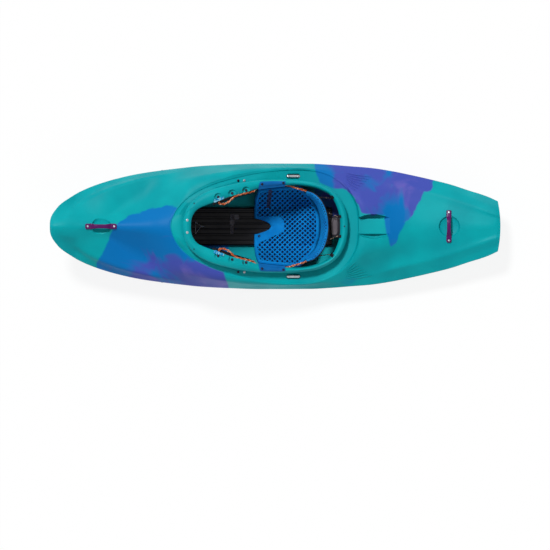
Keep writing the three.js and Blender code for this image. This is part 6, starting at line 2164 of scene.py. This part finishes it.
strap_base = keel_height_at(STRAP_AT) + PANEL["top"] + STRAP_GAP
strap_section = [(-STRAP_HALF, 0), (STRAP_HALF, 0)]
strap_section += [(STRAP_HALF, STRAP_THICK), (-STRAP_HALF, STRAP_THICK)]
strap_rings = [
    [(STRAP_AT + dx, y, strap_base + dz) for dx, dz in strap_section]
    for y in np.linspace(*STRAP_SPAN, 30)
]
dress(smooth(skin("floor_strap", strap_rings), 40), strap_look)


def buckle(index, x, y):
    """A square buckle with round corners, dished in the middle."""
    base = keel_height_at(x) + PANEL["top"] + STRAP_THICK + BUCKLE_GAP
    top = BUCKLE_THICK
    rings = []
    for inset, z in ((0, 0), (0, top - 1), (1, top), (4.5, top), (5, top - 2)):
        reach = (BUCKLE_HALF - inset) * square_reach(40, BUCKLE_SQUARE)
        rings.append(circle(reach, base + z, 40, x, y))
    return smooth(skin(f"floor_buckle_{index + 1}", rings), 40)


for i, (x, y) in enumerate(BUCKLES):
    dress(buckle(i, x, y), grey_look)
net = []
for path in CORD_NET:
    places = Spline(path).many(24)
    line = [(x, y, keel_height_at(x) + PANEL["top"] + NET_GAP) for x, y in places]
    net.append(tube("net", line, NET_RADIUS, 8))
net = smooth(join(net[0], net[1:]), 60)
net.name = "floor_cord"
dress(net, net_look)

# %% [markdown]
# Foam pillars hold the deck up, braces stand beside the thighs, and the feet rest on two plates
# that slide on rails. Their solids in the CAD have the right form already, so each is copied from
# there, and its edges are rounded.

# %% Solids from the CAD with rounded edges


def rounded_copy(node_name, name, look, slot, width, body="boat"):
    """The CAD's own solid with merged points and rounded edges."""
    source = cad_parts[node_name]
    made = new_object(name, source.data.copy())
    work = bmesh.new()
    work.from_mesh(made.data)
    bmesh.ops.remove_doubles(work, verts=work.verts, dist=1e-5)
    bmesh.ops.dissolve_limit(work, angle_limit=math.radians(1), verts=work.verts, edges=work.edges)
    work.to_mesh(made.data)
    work.free()
    smooth(soften(made, width, 3, 30), 40)
    return dress(made, look, node_name, body)


BRACE_TOP = 10
PILLAR_TRIM, PILLAR_GUTTER_TRIM, PILLAR_GUTTER_X = 6, 22, -600
SLOT_CLEAR, SLOT_AHEAD = 12, 20
PILLAR_GREYS = srgb(52, 50, 58), srgb(38, 36, 44), srgb(96, 92, 98)

pillar_foam = foam("pillar_foam", *PILLAR_GREYS, relief=0.0012)
front = rounded_copy("front_pillar", "front_pillar_foam", pillar_foam, "black_foam", 6)
for corner in front.data.vertices:
    x, y, z = corner.co / MM
    share = share_at(x)
    # the deck is rounded off over the pillar, so its top is trimmed
    if z > (lines["keel"](share) + lines["ridge"](share)) / 2 * HEIGHT:
        corner.co.z -= (PILLAR_TRIM if x < PILLAR_GUTTER_X else PILLAR_GUTTER_TRIM) * MM
rear = rounded_copy("rear_pillar", "rear_pillar_foam", pillar_foam, "black_foam", 6)
for corner in rear.data.vertices:
    x, y, z = corner.co / MM
    # under the slots of the channel the pillar is lower
    if x > CHANNEL["front"] - SLOT_AHEAD and z > gutter_floor_at(CHANNEL["front"]) / 2:
        corner.co.z -= (CHANNEL_SLOT + SLOT_CLEAR) * MM
for side, word in SIDES:
    body = f"footrest_{word}_body"
    rounded_copy(f"footrest_rail_{word}", f"slide_rail_{word}", black_look, "black_plastic", 1.5)
    plate = (f"footrest_plate_{word}", f"foot_plate_{word}")
    rounded_copy(*plate, black_look, "black_plastic", 3, body)
    rounded_copy(f"footrest_foam_{word}", f"foot_foam_{word}", black_foam, "black_foam", 4, body)
    brace = rounded_copy(f"thigh_brace_{word}", f"brace_{word}", black_look, "black_plastic", 1.5)
    for corner in brace.data.vertices:
        # the pockets of the rim reach down into the brace, so its top is lower there
        corner.co.z = min(corner.co.z, (lip_height_at(corner.co.x / MM) + BRACE_TOP) * MM)

# %% [markdown]
# The rear pillar carries a moulded cap just behind the backband. It is a long pad with round
# corners and a dished middle.

# %% Cap of the rear pillar
CAP = {"x": 317, "half_x": 17, "half_y": 46, "low": 212}
CAP_ROWS = ((0, 0), (0, 6.5), (2.5, 9), (6, 9), (7.5, 6.5), (10, 5.5))

cap_outline = circle(square_reach(48, 4), CAP["low"], 48)
cap_rings = []
for inset, rise in CAP_ROWS:
    wide, high = CAP["half_x"] - inset, CAP["half_y"] - inset
    cap_rings.append([(CAP["x"] + x * wide, y * high, z + rise) for x, y, z in cap_outline])
cap = smooth(skin("rear_pillar_cap", cap_rings), 40)
dress(cap, grey_look)
